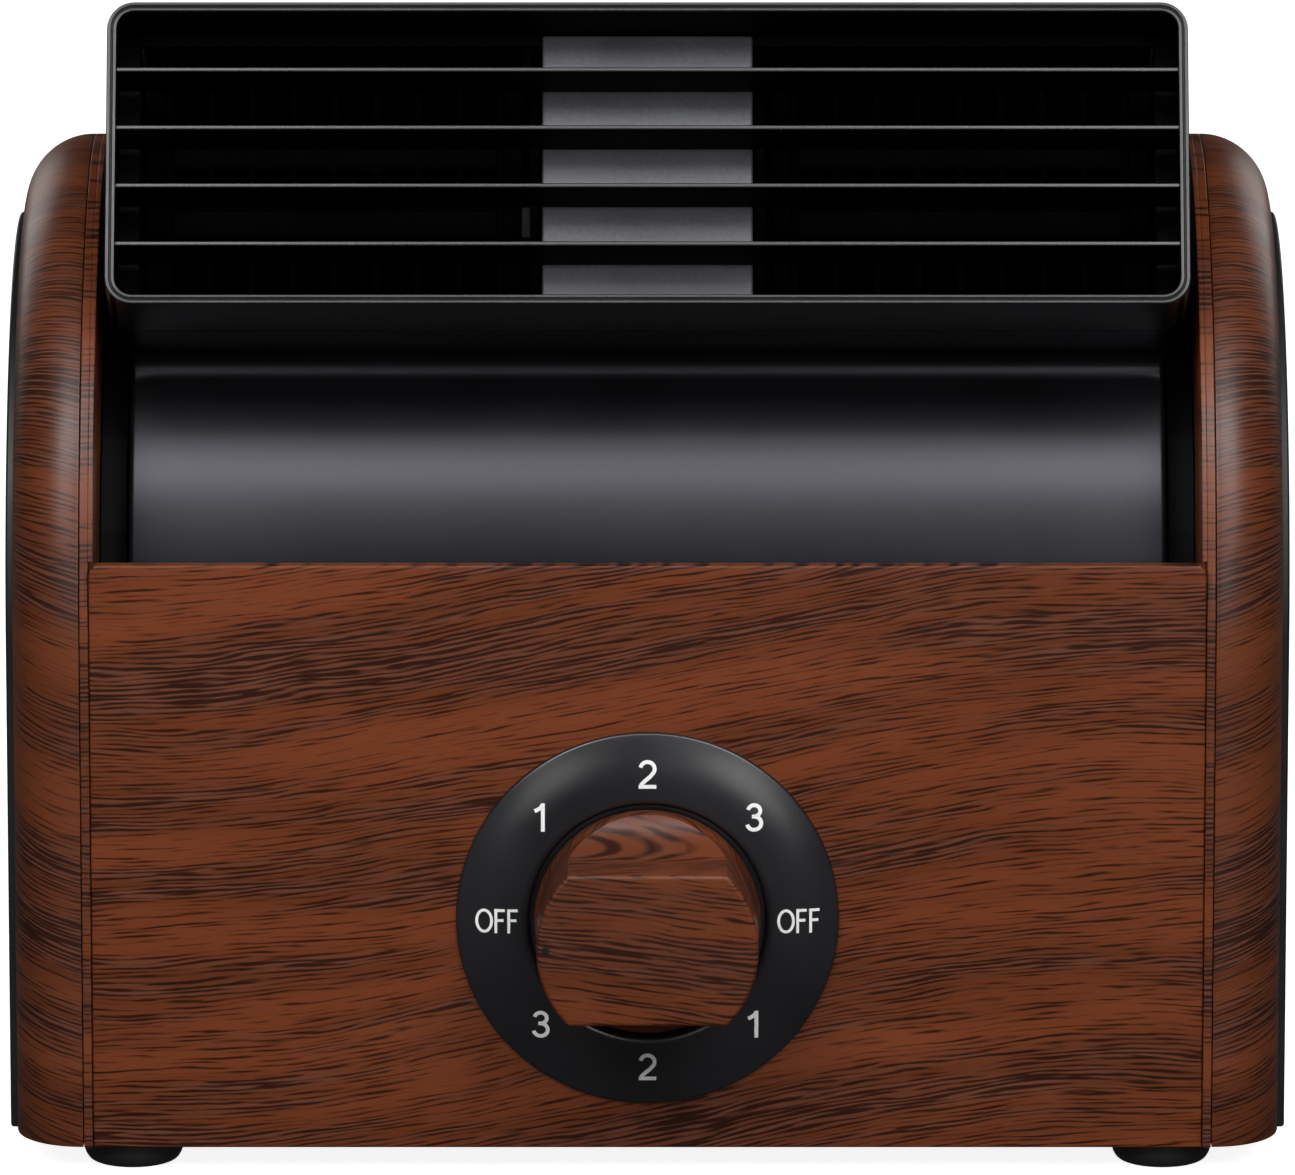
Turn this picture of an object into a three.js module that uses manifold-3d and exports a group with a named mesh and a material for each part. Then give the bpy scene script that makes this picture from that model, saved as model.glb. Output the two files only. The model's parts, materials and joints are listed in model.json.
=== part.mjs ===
/*
 * Desktop ceramic heater: two arched wood-grain cheeks carry a blower head that tilts between them,
 * above a front panel with a rotary switch.
 *
 * Units are millimetres. x runs across the heater, y from its front to its back, and z up.
 * The origin is on the floor, under the middle of the heater's bounding box.
 */
import * as THREE from 'three';
import { mergeVertices } from 'three/addons/utils/BufferGeometryUtils.js';
import Module from 'manifold-3d';

const wasm = await Module();
wasm.setup();

// Overall form
const FOOT_HEIGHT = 5;
const BODY_DEPTH = 161;
const KNOB_REACH = 24.6;
const FRONT_Y = (KNOB_REACH - BODY_DEPTH) / 2;
const GAP = 0.3;
const FAR = 400;

// The arch of the cheeks. The head turns about the arch's own centre line.
const ARCH_RADIUS = 80.5;
const ARCH_CENTRE_HEIGHT = 90;
const AXIS_Y = FRONT_Y + ARCH_RADIUS;
const AXIS_Z = FOOT_HEIGHT + ARCH_CENTRE_HEIGHT;

// Cheeks, inner walls and side covers: distances from the middle of the heater
const WALL_INNER_X = 99.9;
const WALL_OUTER_X = 102.4;
const CHEEK_INNER_X = WALL_OUTER_X + GAP;
const CHEEK_OUTER_X = 115;
const BULLNOSE_RADIUS = CHEEK_OUTER_X - CHEEK_INNER_X;
const COVER_RADIUS = 66;
const COVER_OUTER_X = 116.4;
const COVER_THICKNESS = 3;
const COVER_SKIRT = 2;
const COVER_EDGE = 1.4;

// Intake slots in the side covers
const SLOT_HEIGHT = 3.6;
const SLOT_PITCH = 7;
const SLOT_ROWS = 13;
const SLOT_FIELD_RADIUS = 47;

// Front, rear and base panels
const PANEL_HALF_WIDTH = 100.5;
const PANEL_HEIGHT = 108.5;
const PANEL_THICKNESS = 3;
const PANEL_CORNER = 2;
const REAR_PANEL_HEIGHT = 50;
const REAR_RECESS = 3;
const BASE_THICKNESS = 2.5;
const BASE_HALF_WIDTH = WALL_INNER_X - GAP;
const REAR_PANEL_Y = FRONT_Y + BODY_DEPTH - REAR_RECESS - PANEL_THICKNESS;

// Cord gland in the rear panel
const GLAND_X = 62;
const GLAND_Z = FOOT_HEIGHT + 20;
const GLAND_NECK_RADIUS = 5;

// Screw ledges along the foot of each inner wall
const LEDGE_WIDTH = 8;
const LEDGE_HEIGHT = 5;
const LEDGE_INSET = 25;
const SCREW_X = 95.5;
const SCREW_INSET = 40;
const SCREW_HOLE_RADIUS = 1.8;

// Cradle under the drum
const CRADLE_CLEARANCE = 2;
const CRADLE_THICKNESS = 1.5;

// Feet
const FOOT_X = 93.8;
const FOOT_INSET = 12;
const FOOT_RADIUS = 9.1;
const FOOT_STUD_RADIUS = 2.9;

// Rotary control, centred on the front panel
const KNOB_Z = FOOT_HEIGHT + 43.2;
const DIAL_OUTER_RADIUS = 34.7;
const DIAL_INNER_RADIUS = 21.4;
const DIAL_CREST = 2.9;
const DIAL_FLOOR = 0.9;
const KNOB_DISC_RADIUS = 20.5;
const KNOB_DISC_BACK = 1.4;
const KNOB_DISC_FRONT = 5;
const GRIP_RADIUS = 20;
const GRIP_HALF_HEIGHT = 14;
const GRIP_EDGE = 1;
const SWITCH_HOLE_RADIUS = 5.4;
const BUSHING_RADIUS = 5;
const BUSHING_LENGTH = 3.2;
const KNOB_SHAFT_RADIUS = 3;
const KNOB_SHAFT_REACH = 14.5;
const NUT_RADIUS = 8;
const NUT_THICKNESS = 1.7;
const NUT_POCKET_RADIUS = 10.5;
const NUT_POCKET_DEPTH = 4.4;
const SWITCH_SIZE = 28;
const SWITCH_DEPTH = 16;

// Blower head, in its own frame: the outlet faces -y and the head turns about the x axis
const HEAD_TILT = THREE.MathUtils.degToRad(28);
const DRUM_RADIUS = 57;
const DRUM_HALF_LENGTH = 94.4;
const SHELL = 1.8;
const NOZZLE_FLOOR_Z = 25.4;
const NOZZLE_ROOF_Z = NOZZLE_FLOOR_Z + DRUM_RADIUS;
const OUTLET_Y = -87.6;
const GRILLE_HALF_WIDTH = 98;
const GRILLE_DEPTH = 17.3;
const GRILLE_CORNER = 5;
const GRILLE_CORNER_STEPS = 4;
const GRILLE_FLANGE = 5.5;
const GRILLE_BACK_Y = OUTLET_Y + GRILLE_DEPTH;
const NOZZLE_FRONT_Y = GRILLE_BACK_Y + GAP;
const SLAT_COUNT = 4;
const SLAT_PITCH = 10.95;
const FIRST_SLAT_DROP = 12.6;
const SLAT_THICKNESS = 1.1;
const SLAT_SETBACK = 0.7;
const SLAT_DEPTH = 12.6;

// Hollow collars of the head, which turn in bushes in the inner walls and let the air in
const COLLAR_RADIUS = 40;
const COLLAR_BORE_RADIUS = 37;
const COLLAR_END_X = 106.5;
const BUSH_BORE_RADIUS = COLLAR_RADIUS + 0.4;
const BUSH_SLEEVE_RADIUS = 42.3;
const BUSH_FLANGE_RADIUS = 52;
const BUSH_FLANGE_X = DRUM_HALF_LENGTH + 2 * GAP;
const BUSH_END_X = 103.5;
const RING_RADIUS = 44.5;
const RING_START_X = 104;
const RING_END_X = 106;
const WALL_HOLE_RADIUS = BUSH_SLEEVE_RADIUS + GAP;
const INLET_ARM_HALF_WIDTH = 2;
const BEARING_BOSS_RADIUS = 6;

// Blower inside the head
const SHAFT_RADIUS = 2.5;
const SHAFT_BORE_RADIUS = SHAFT_RADIUS + GAP;
const SHAFT_HALF_LENGTH = 95;
const IMPELLER_RADIUS = 43;
const IMPELLER_INNER_RADIUS = 36;
const IMPELLER_START_X = 25;
const IMPELLER_END_X = 86;
const IMPELLER_DISC = 1.6;
const BLADE_COUNT = 20;
const IMPELLER_HUB_RADIUS = 7;
const IMPELLER_HUB_LENGTH = 14;
const IMPELLER_CLIP_X = IMPELLER_START_X + 9;
const MOTOR_RADIUS = 24;
const MOTOR_HALF_LENGTH = 16;
const MOTOR_EDGE = 2;
const MOTOR_NOSE_RADIUS = 8;
const MOTOR_NOSE_LENGTH = 2.5;
const BULKHEAD_X = 20;
const BULKHEAD_THICKNESS = 1.5;
const BULKHEAD_HOLE_RADIUS = 6;
const CENTRE_PLATE_HALF_WIDTH = 19.15;
const CENTRE_PLATE_THICKNESS = 1.4;

// Ceramic heating units, one on each side of the centre plate
const HEATER_INNER_X = 23;
const HEATER_OUTER_X = 91;
const HEATER_FRONT_Y = -67;
const HEATER_BACK_Y = -54;
const HEATER_LOW_Z = 29.5;
const HEATER_HIGH_Z = 78.3;
const HEATER_WALL = 3;
const PTC_BAR_HEIGHT = 5;
const FIN_COLUMNS = 8;
const FIN_THICKNESS = 1;
const FIN_X0 = HEATER_INNER_X + HEATER_WALL + GAP;
const FIN_X1 = HEATER_OUTER_X - HEATER_WALL - GAP;
const FIN_Z0 = HEATER_LOW_Z + HEATER_WALL + GAP;
const FIN_Z1 = HEATER_HIGH_Z - HEATER_WALL - GAP;
const PTC_BAR_PLACES = [1 / 3, 2 / 3].map((part) => FIN_Z0 + part * (FIN_Z1 - FIN_Z0));

// Steps in a half circle of a large and of a small round piece
const FINE = 18;
const COARSE = 8;
const MERGE_TOLERANCE = 1e-4;

// Solids

function signedVolume(positions, triangles) {
  const corners = [new THREE.Vector3(), new THREE.Vector3(), new THREE.Vector3()];
  let total = 0;
  for (let i = 0; i < triangles.length; i += 3) {
    corners.forEach((corner, k) => corner.fromArray(positions, triangles[i + k] * 3));
    total += corners[0].dot(corners[1].cross(corners[2]));
  }
  return total;
}

/** A manifold solid from a closed geometry, with its faces turned outwards. */
function solidOf(geometry) {
  geometry.deleteAttribute('normal');
  geometry.deleteAttribute('uv');
  const merged = mergeVertices(geometry, MERGE_TOLERANCE);
  const positions = Float32Array.from(merged.getAttribute('position').array);
  const index = merged.getIndex().array;
  const triangles = [];
  for (let i = 0; i < index.length; i += 3) {
    const [a, b, c] = index.slice(i, i + 3);
    if (a !== b && b !== c && c !== a) triangles.push(a, b, c);
  }
  if (signedVolume(positions, triangles) < 0) triangles.reverse();
  return new wasm.Manifold(new wasm.Mesh({
    numProp: 3,
    vertProperties: positions,
    triVerts: Uint32Array.from(triangles),
  }));
}

function geometryOf(solid) {
  const mesh = solid.getMesh();
  const geometry = new THREE.BufferGeometry();
  geometry.setAttribute('position', new THREE.BufferAttribute(Float32Array.from(mesh.vertProperties), 3));
  geometry.setIndex(Array.from(mesh.triVerts));
  geometry.computeVertexNormals();
  return geometry;
}

function moved(solid, x, y, z) {
  return solidOf(geometryOf(solid).translate(x, y, z));
}

/** The same solid on the other side of the heater's middle plane. */
function mirrored(solid) {
  return solidOf(geometryOf(solid).scale(-1, 1, 1));
}

function joined(first, ...others) {
  return others.reduce((whole, other) => whole.add(other), first);
}

function cut(first, ...others) {
  return others.reduce((whole, other) => whole.subtract(other), first);
}

function box(x0, x1, y0, y1, z0, z1) {
  const geometry = new THREE.BoxGeometry(x1 - x0, y1 - y0, z1 - z0);
  geometry.translate((x0 + x1) / 2, (y0 + y1) / 2, (z0 + z1) / 2);
  return solidOf(geometry);
}

/** A profile drawn in y and z, extruded along x from x0 to x1. */
function extrudeAcross(shape, x0, x1, options = {}) {
  const settings = { depth: x1 - x0, bevelEnabled: false, curveSegments: FINE, ...options };
  const geometry = new THREE.ExtrudeGeometry(shape, settings);
  const alongY = new THREE.Vector3(0, 1, 0);
  const alongZ = new THREE.Vector3(0, 0, 1);
  const alongX = new THREE.Vector3(1, 0, 0);
  geometry.applyMatrix4(new THREE.Matrix4().makeBasis(alongY, alongZ, alongX));
  return solidOf(geometry.translate(x0, 0, 0));
}

/** A profile drawn in x and z, extruded along y from y0 back to y1. */
function extrudeBack(shape, y0, y1, options = {}) {
  const settings = { depth: y1 - y0, bevelEnabled: false, curveSegments: COARSE, ...options };
  const geometry = new THREE.ExtrudeGeometry(shape, settings);
  const alongX = new THREE.Vector3(1, 0, 0);
  const alongZ = new THREE.Vector3(0, 0, 1);
  const towardsFront = new THREE.Vector3(0, -1, 0);
  geometry.applyMatrix4(new THREE.Matrix4().makeBasis(alongX, alongZ, towardsFront));
  return solidOf(geometry.translate(0, y1, 0));
}

/** A profile of [radius, x] pairs turned about the x axis. */
function turnAcross(profile, segments = 2 * FINE) {
  const points = profile.map(([radius, x]) => new THREE.Vector2(radius, x));
  return solidOf(new THREE.LatheGeometry(points, segments).rotateZ(-Math.PI / 2));
}

/** A profile of [radius, distance towards the front] pairs turned about the y axis. */
function turnForwards(profile, segments = 2 * FINE) {
  const points = profile.map(([radius, reach]) => new THREE.Vector2(radius, reach));
  return solidOf(new THREE.LatheGeometry(points, segments).rotateX(Math.PI));
}

/** A profile of [radius, z] pairs turned about the z axis. */
function turnUpright(profile, segments = 2 * COARSE) {
  const points = profile.map(([radius, z]) => new THREE.Vector2(radius, z));
  return solidOf(new THREE.LatheGeometry(points, segments).rotateX(Math.PI / 2));
}

/** The closed [radius, position] outline of a plain disc or rod. */
function rodProfile(radius, start, end) {
  return [[0, start], [radius, start], [radius, end], [0, end]];
}

/** The closed [radius, position] outline of a plain tube. */
function tubeProfile(inner, outer, start, end) {
  return [[inner, start], [outer, start], [outer, end], [inner, end], [inner, start]];
}

// Outlines

/** The outline of the cheeks: upright sides under half a circle. */
function archShape(radius, bottomZ) {
  const shape = new THREE.Shape();
  shape.moveTo(AXIS_Y + radius, bottomZ);
  shape.lineTo(AXIS_Y + radius, AXIS_Z);
  shape.absarc(AXIS_Y, AXIS_Z, radius, 0, Math.PI, false);
  shape.lineTo(AXIS_Y - radius, bottomZ);
  shape.closePath();
  return shape;
}

function rectangle(x0, x1, z0, z1, Kind = THREE.Shape) {
  const outline = new Kind();
  outline.moveTo(x0, z0);
  outline.lineTo(x1, z0);
  outline.lineTo(x1, z1);
  outline.lineTo(x0, z1);
  outline.closePath();
  return outline;
}

function roundedRectangle(x0, x1, z0, z1, radius, Kind = THREE.Shape) {
  const outline = new Kind();
  outline.moveTo(x0 + radius, z0);
  outline.lineTo(x1 - radius, z0);
  outline.absarc(x1 - radius, z0 + radius, radius, -Math.PI / 2, 0, false);
  outline.lineTo(x1, z1 - radius);
  outline.absarc(x1 - radius, z1 - radius, radius, 0, Math.PI / 2, false);
  outline.lineTo(x0 + radius, z1);
  outline.absarc(x0 + radius, z1 - radius, radius, Math.PI / 2, Math.PI, false);
  outline.lineTo(x0, z0 + radius);
  outline.absarc(x0 + radius, z0 + radius, radius, Math.PI, 1.5 * Math.PI, false);
  return outline;
}

function circlePath(x, z, radius) {
  const path = new THREE.Path();
  path.absarc(x, z, radius, 0, 2 * Math.PI, false);
  return path;
}

// Cabinet

function makeCheek() {
  const flat = BULLNOSE_RADIUS;
  const block = extrudeAcross(archShape(ARCH_RADIUS, -FAR), CHEEK_INNER_X - flat, CHEEK_INNER_X, {
    bevelEnabled: true,
    bevelThickness: BULLNOSE_RADIUS,
    bevelSize: BULLNOSE_RADIUS,
    bevelOffset: -BULLNOSE_RADIUS,
    bevelSegments: 4,
  });
  const kept = box(CHEEK_INNER_X, FAR, -FAR, FAR, FOOT_HEIGHT, FAR);
  const opening = extrudeAcross(archShape(COVER_RADIUS + GAP, -FAR), 0, FAR);
  return cut(block.intersect(kept), opening);
}

function makeInnerWall() {
  const plate = extrudeAcross(archShape(ARCH_RADIUS, FOOT_HEIGHT), WALL_INNER_X, WALL_OUTER_X);
  const ledge = box(
    WALL_INNER_X - LEDGE_WIDTH, WALL_OUTER_X,
    FRONT_Y + LEDGE_INSET, FRONT_Y + BODY_DEPTH - LEDGE_INSET,
    FOOT_HEIGHT + BASE_THICKNESS + GAP, FOOT_HEIGHT + BASE_THICKNESS + LEDGE_HEIGHT,
  );
  const pivotHole = turnAcross(rodProfile(WALL_HOLE_RADIUS, 0, FAR));
  const rebate = box(
    0, PANEL_HALF_WIDTH + GAP,
    -FAR, FRONT_Y + PANEL_THICKNESS + GAP,
    0, FOOT_HEIGHT + PANEL_HEIGHT + GAP,
  );
  const screwHoles = screwPlaces()
    .filter(([x]) => x > 0)
    .map(([x, y]) => moved(turnUpright(rodProfile(SCREW_HOLE_RADIUS, 0, FOOT_X), COARSE), x, y, 0));
  return cut(joined(plate, ledge), moved(pivotHole, 0, AXIS_Y, AXIS_Z), rebate, ...screwHoles);
}

/** Slots across a round field in front of the head's air inlet. */
function intakeSlots() {
  const slots = [];
  for (let row = 0; row < SLOT_ROWS; row += 1) {
    const z = (row - (SLOT_ROWS - 1) / 2) * SLOT_PITCH;
    const reach = Math.sqrt(SLOT_FIELD_RADIUS ** 2 - z ** 2);
    const low = AXIS_Z + z - SLOT_HEIGHT / 2;
    slots.push(rectangle(AXIS_Y - reach, AXIS_Y + reach, low, low + SLOT_HEIGHT, THREE.Path));
  }
  return slots;
}

function makeSideCover() {
  const face = archShape(COVER_RADIUS, FOOT_HEIGHT);
  const start = COVER_OUTER_X - COVER_THICKNESS;
  const plate = extrudeAcross(face, start + COVER_EDGE, COVER_OUTER_X - COVER_EDGE, {
    bevelEnabled: true,
    bevelThickness: COVER_EDGE,
    bevelSize: COVER_EDGE,
    bevelOffset: -COVER_EDGE,
    bevelSegments: 2,
  });
  const slots = intakeSlots().map((path) => {
    return extrudeAcross(new THREE.Shape(path.getPoints()), 0, FAR);
  });
  const skirtOutline = archShape(COVER_RADIUS, FOOT_HEIGHT);
  skirtOutline.holes.push(archShape(COVER_RADIUS - COVER_SKIRT, FOOT_HEIGHT + COVER_SKIRT));
  const skirt = extrudeAcross(skirtOutline, CHEEK_INNER_X + GAP, start + COVER_EDGE);
  return joined(cut(plate, ...slots), skirt);
}

function makeFrontPanel() {
  const left = -PANEL_HALF_WIDTH;
  const top = FOOT_HEIGHT + PANEL_HEIGHT;
  const outline = new THREE.Shape();
  outline.moveTo(left, FOOT_HEIGHT);
  outline.lineTo(PANEL_HALF_WIDTH, FOOT_HEIGHT);
  outline.lineTo(PANEL_HALF_WIDTH, top - PANEL_CORNER);
  outline.absarc(PANEL_HALF_WIDTH - PANEL_CORNER, top - PANEL_CORNER, PANEL_CORNER, 0, Math.PI / 2, false);
  outline.lineTo(left + PANEL_CORNER, top);
  outline.absarc(left + PANEL_CORNER, top - PANEL_CORNER, PANEL_CORNER, Math.PI / 2, Math.PI, false);
  outline.closePath();
  outline.holes.push(circlePath(0, KNOB_Z, SWITCH_HOLE_RADIUS));
  return extrudeBack(outline, FRONT_Y, FRONT_Y + PANEL_THICKNESS);
}

function makeRearPanel() {
  const top = FOOT_HEIGHT + REAR_PANEL_HEIGHT;
  const outline = rectangle(-BASE_HALF_WIDTH, BASE_HALF_WIDTH, FOOT_HEIGHT, top);
  outline.holes.push(circlePath(GLAND_X, GLAND_Z, GLAND_NECK_RADIUS + GAP));
  return extrudeBack(outline, REAR_PANEL_Y, REAR_PANEL_Y + PANEL_THICKNESS);
}

function makeCordGland() {
  const flangeRadius = 7.5;
  const bore = 3.2;
  const flange = REAR_RECESS - GAP;
  const profile = [
    [bore, -flange],
    [flangeRadius - 1, -flange],
    [flangeRadius, -flange + 1],
    [flangeRadius, -GAP],
    [GLAND_NECK_RADIUS, -GAP],
    [GLAND_NECK_RADIUS, PANEL_THICKNESS + 4],
    [bore, PANEL_THICKNESS + 4],
    [bore, -flange],
  ];
  return moved(turnForwards(profile, 2 * COARSE), GLAND_X, REAR_PANEL_Y + PANEL_THICKNESS, GLAND_Z);
}

/** The four corners that are the same distance in from the front and the back. */
function cornerPlaces(x, inset) {
  const front = FRONT_Y + inset;
  const back = FRONT_Y + BODY_DEPTH - inset;
  return [[-x, front], [x, front], [-x, back], [x, back]];
}

function screwPlaces() {
  return cornerPlaces(SCREW_X, SCREW_INSET);
}

function footPlaces() {
  return cornerPlaces(FOOT_X, FOOT_INSET);
}

function makeBasePlate() {
  const plate = box(
    -BASE_HALF_WIDTH, BASE_HALF_WIDTH,
    FRONT_Y + PANEL_THICKNESS + GAP, REAR_PANEL_Y - GAP,
    FOOT_HEIGHT, FOOT_HEIGHT + BASE_THICKNESS,
  );
  const holes = [
    ...screwPlaces().map(([x, y]) => [x, y, SCREW_HOLE_RADIUS]),
    ...footPlaces().map(([x, y]) => [x, y, FOOT_STUD_RADIUS + GAP]),
  ];
  return cut(plate, ...holes.map(([x, y, radius]) => {
    return moved(turnUpright(rodProfile(radius, 0, FOOT_X), COARSE), x, y, 0);
  }));
}

function makeFoot() {
  const top = FOOT_HEIGHT - 0.1;
  const studTop = FOOT_HEIGHT + BASE_THICKNESS + 1;
  return turnUpright([
    [0, 0],
    [FOOT_RADIUS - 1.2, 0],
    [FOOT_RADIUS, 1.4],
    [FOOT_RADIUS, top],
    [FOOT_STUD_RADIUS, top],
    [FOOT_STUD_RADIUS, studTop],
    [0, studTop],
  ]);
}

function makeBaseScrew() {
  const headRadius = 3;
  const headTop = FOOT_HEIGHT - 0.1;
  const shank = 1.5;
  const tip = FOOT_HEIGHT + BASE_THICKNESS + LEDGE_HEIGHT - 1;
  return turnUpright([
    [0, headTop - 1.6],
    [headRadius - 0.8, headTop - 1.6],
    [headRadius, headTop - 0.7],
    [headRadius, headTop],
    [shank, headTop],
    [shank, tip - 1],
    [0, tip],
  ], COARSE);
}

// Rotary control, in a frame centred on the front panel's face

/** Domed ring round a well for the knob. */
function makeDialPlate() {
  return turnForwards([
    [SWITCH_HOLE_RADIUS, 0.1],
    [DIAL_OUTER_RADIUS - 0.2, 0.1],
    [DIAL_OUTER_RADIUS, 0.9],
    [DIAL_OUTER_RADIUS - 0.5, 1.6],
    [DIAL_OUTER_RADIUS - 2.1, 2.4],
    [DIAL_OUTER_RADIUS - 5, DIAL_CREST],
    [DIAL_INNER_RADIUS + 4, DIAL_CREST],
    [DIAL_INNER_RADIUS + 1.4, 2.6],
    [DIAL_INNER_RADIUS, 1.8],
    [DIAL_INNER_RADIUS, DIAL_FLOOR],
    [SWITCH_HOLE_RADIUS, DIAL_FLOOR],
    [SWITCH_HOLE_RADIUS, 0.1],
  ]);
}

function gripShape() {
  const angle = Math.asin(GRIP_HALF_HEIGHT / GRIP_RADIUS);
  const shape = new THREE.Shape();
  shape.absarc(0, 0, GRIP_RADIUS, -angle, angle, false);
  shape.absarc(0, 0, GRIP_RADIUS, Math.PI - angle, Math.PI + angle, false);
  shape.closePath();
  return shape;
}

function makeKnob() {
  const disc = turnForwards([
    [0, KNOB_DISC_BACK],
    [KNOB_DISC_RADIUS - 0.4, KNOB_DISC_BACK],
    [KNOB_DISC_RADIUS, KNOB_DISC_BACK + 0.4],
    [KNOB_DISC_RADIUS, KNOB_DISC_FRONT - 0.8],
    [KNOB_DISC_RADIUS - 0.8, KNOB_DISC_FRONT],
    [0, KNOB_DISC_FRONT],
  ]);
  const gripRoot = KNOB_DISC_FRONT - 0.5;
  const grip = extrudeBack(gripShape(), -KNOB_REACH + GRIP_EDGE, -gripRoot, {
    bevelEnabled: true,
    bevelThickness: GRIP_EDGE,
    bevelSize: GRIP_EDGE,
    bevelOffset: -GRIP_EDGE,
    bevelSegments: 2,
  });
  const nutPocket = turnForwards(rodProfile(NUT_POCKET_RADIUS, 0, NUT_POCKET_DEPTH), COARSE * 2);
  const shaftBore = turnForwards(rodProfile(KNOB_SHAFT_RADIUS + GAP, 0, KNOB_SHAFT_REACH + GAP), COARSE);
  return cut(joined(disc, grip), nutPocket, shaftBore);
}

function makeKnobShaft() {
  const rod = turnForwards(rodProfile(KNOB_SHAFT_RADIUS, -SWITCH_DEPTH + 2, KNOB_SHAFT_REACH), COARSE);
  const flat = box(-FAR, FAR, -FAR, -BUSHING_LENGTH - 1, KNOB_SHAFT_RADIUS - 0.8, FAR);
  return cut(rod, flat);
}

function makeRotarySwitch() {
  const half = SWITCH_SIZE / 2;
  const front = PANEL_THICKNESS + GAP;
  const body = box(-half, half, front, front + SWITCH_DEPTH, -half, half);
  const bushing = turnForwards(rodProfile(BUSHING_RADIUS, -front - 1, BUSHING_LENGTH), 2 * COARSE);
  const tabSpacing = half * 0.6;
  const tabBack = front + SWITCH_DEPTH + 6;
  const tabs = [-tabSpacing, 0, tabSpacing].map((x) => {
    return box(x - 1.5, x + 1.5, front + SWITCH_DEPTH - 1, tabBack, -0.4, 0.4);
  });
  const bore = turnForwards(rodProfile(KNOB_SHAFT_RADIUS + 0.4, -SWITCH_DEPTH, FAR), COARSE);
  return cut(joined(body, bushing, ...tabs), bore);
}

function makeSwitchNut() {
  const back = DIAL_FLOOR + GAP;
  const hexagon = 6;
  return turnForwards(tubeProfile(BUSHING_RADIUS + GAP, NUT_RADIUS, back, back + NUT_THICKNESS), hexagon * 2);
}

// Parts between the side walls

/**
 * Cradle under the drum, which closes off the wiring: a shelf behind the front panel, a trough round
 * the drum, and a floor that leaves room for the head's back when it is tilted right up.
 */
function makeDrumCradle() {
  const shelfRise = 6;
  const inner = DRUM_RADIUS + CRADLE_CLEARANCE;
  const outer = inner + CRADLE_THICKNESS;
  const front = FRONT_Y + PANEL_THICKNESS + GAP;
  const back = REAR_PANEL_Y - GAP;
  const shelfTop = AXIS_Z + shelfRise;
  const innerStart = Math.PI - Math.asin(shelfRise / inner);
  const outerStart = Math.PI - Math.asin((shelfRise - CRADLE_THICKNESS) / outer);
  const shape = new THREE.Shape();
  shape.moveTo(front, shelfTop);
  shape.lineTo(AXIS_Y + inner * Math.cos(innerStart), shelfTop);
  shape.absarc(AXIS_Y, AXIS_Z, inner, innerStart, 1.5 * Math.PI, false);
  shape.lineTo(back, AXIS_Z - inner);
  shape.lineTo(back, AXIS_Z - outer);
  shape.lineTo(AXIS_Y, AXIS_Z - outer);
  shape.absarc(AXIS_Y, AXIS_Z, outer, 1.5 * Math.PI, outerStart, true);
  shape.lineTo(front, shelfTop - CRADLE_THICKNESS);
  shape.closePath();
  return extrudeAcross(shape, -BASE_HALF_WIDTH, BASE_HALF_WIDTH);
}

function makeTiltSwitch() {
  const bottom = FOOT_HEIGHT + BASE_THICKNESS + 0.1;
  const place = [-55, FRONT_Y + 45, 0];
  const body = box(-10, 10, -7, 7, bottom, bottom + 12);
  const lugs = box(-15, 15, -4, 4, bottom, bottom + 2);
  return moved(joined(body, lugs), ...place);
}

function makeTerminalBlock() {
  const bottom = FOOT_HEIGHT + BASE_THICKNESS + 0.1;
  const place = [55, FRONT_Y + 120, 0];
  const spacing = 12;
  const block = box(-18, 18, -6, 6, bottom, bottom + 7);
  const ways = [-spacing, 0, spacing].map((x) => box(x - 4, x + 4, -4.5, 4.5, bottom + 6, bottom + 12));
  return moved(joined(block, ...ways), ...place);
}

// Head: shells, ends and outlet

/** The head's side view, drawn inwards by inset, from the outlet's floor round to its roof. */
function headShape(inset, frontY) {
  const radius = DRUM_RADIUS - inset;
  const floorZ = NOZZLE_FLOOR_Z + inset;
  const meet = Math.asin(floorZ / radius);
  const shape = new THREE.Shape();
  shape.moveTo(frontY, floorZ);
  shape.lineTo(-radius * Math.cos(meet), floorZ);
  shape.absarc(0, 0, radius, Math.PI - meet, 2 * Math.PI, false);
  shape.lineTo(radius, NOZZLE_FLOOR_Z);
  shape.absarc(0, NOZZLE_FLOOR_Z, radius, 0, Math.PI / 2, false);
  shape.lineTo(frontY, NOZZLE_ROOF_Z - inset);
  shape.closePath();
  return shape;
}

/** The wall of drum and nozzle, open at the outlet and at both ends. */
function shellTube() {
  const reach = DRUM_HALF_LENGTH - SHELL - GAP;
  const outside = extrudeAcross(headShape(0, NOZZLE_FRONT_Y), -reach, reach);
  return cut(outside, extrudeAcross(headShape(SHELL, -FAR), -FAR, FAR));
}

/** The drum's lower and front wall, up to the floor of the nozzle. */
function makeFrontShell() {
  const lower = box(-FAR, FAR, -FAR, FAR, -FAR, -GAP / 2);
  const front = box(-FAR, FAR, -FAR, 0, -FAR, NOZZLE_FLOOR_Z + 2 * SHELL);
  return shellTube().intersect(joined(lower, front));
}

/** The drum's back wall and the roof of the nozzle. */
function makeRearShell() {
  const upper = box(-FAR, FAR, 0, FAR, GAP / 2, FAR);
  const roof = box(-FAR, FAR, -FAR, FAR, NOZZLE_ROOF_Z - 2 * SHELL, FAR);
  return shellTube().intersect(joined(upper, roof));
}

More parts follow.
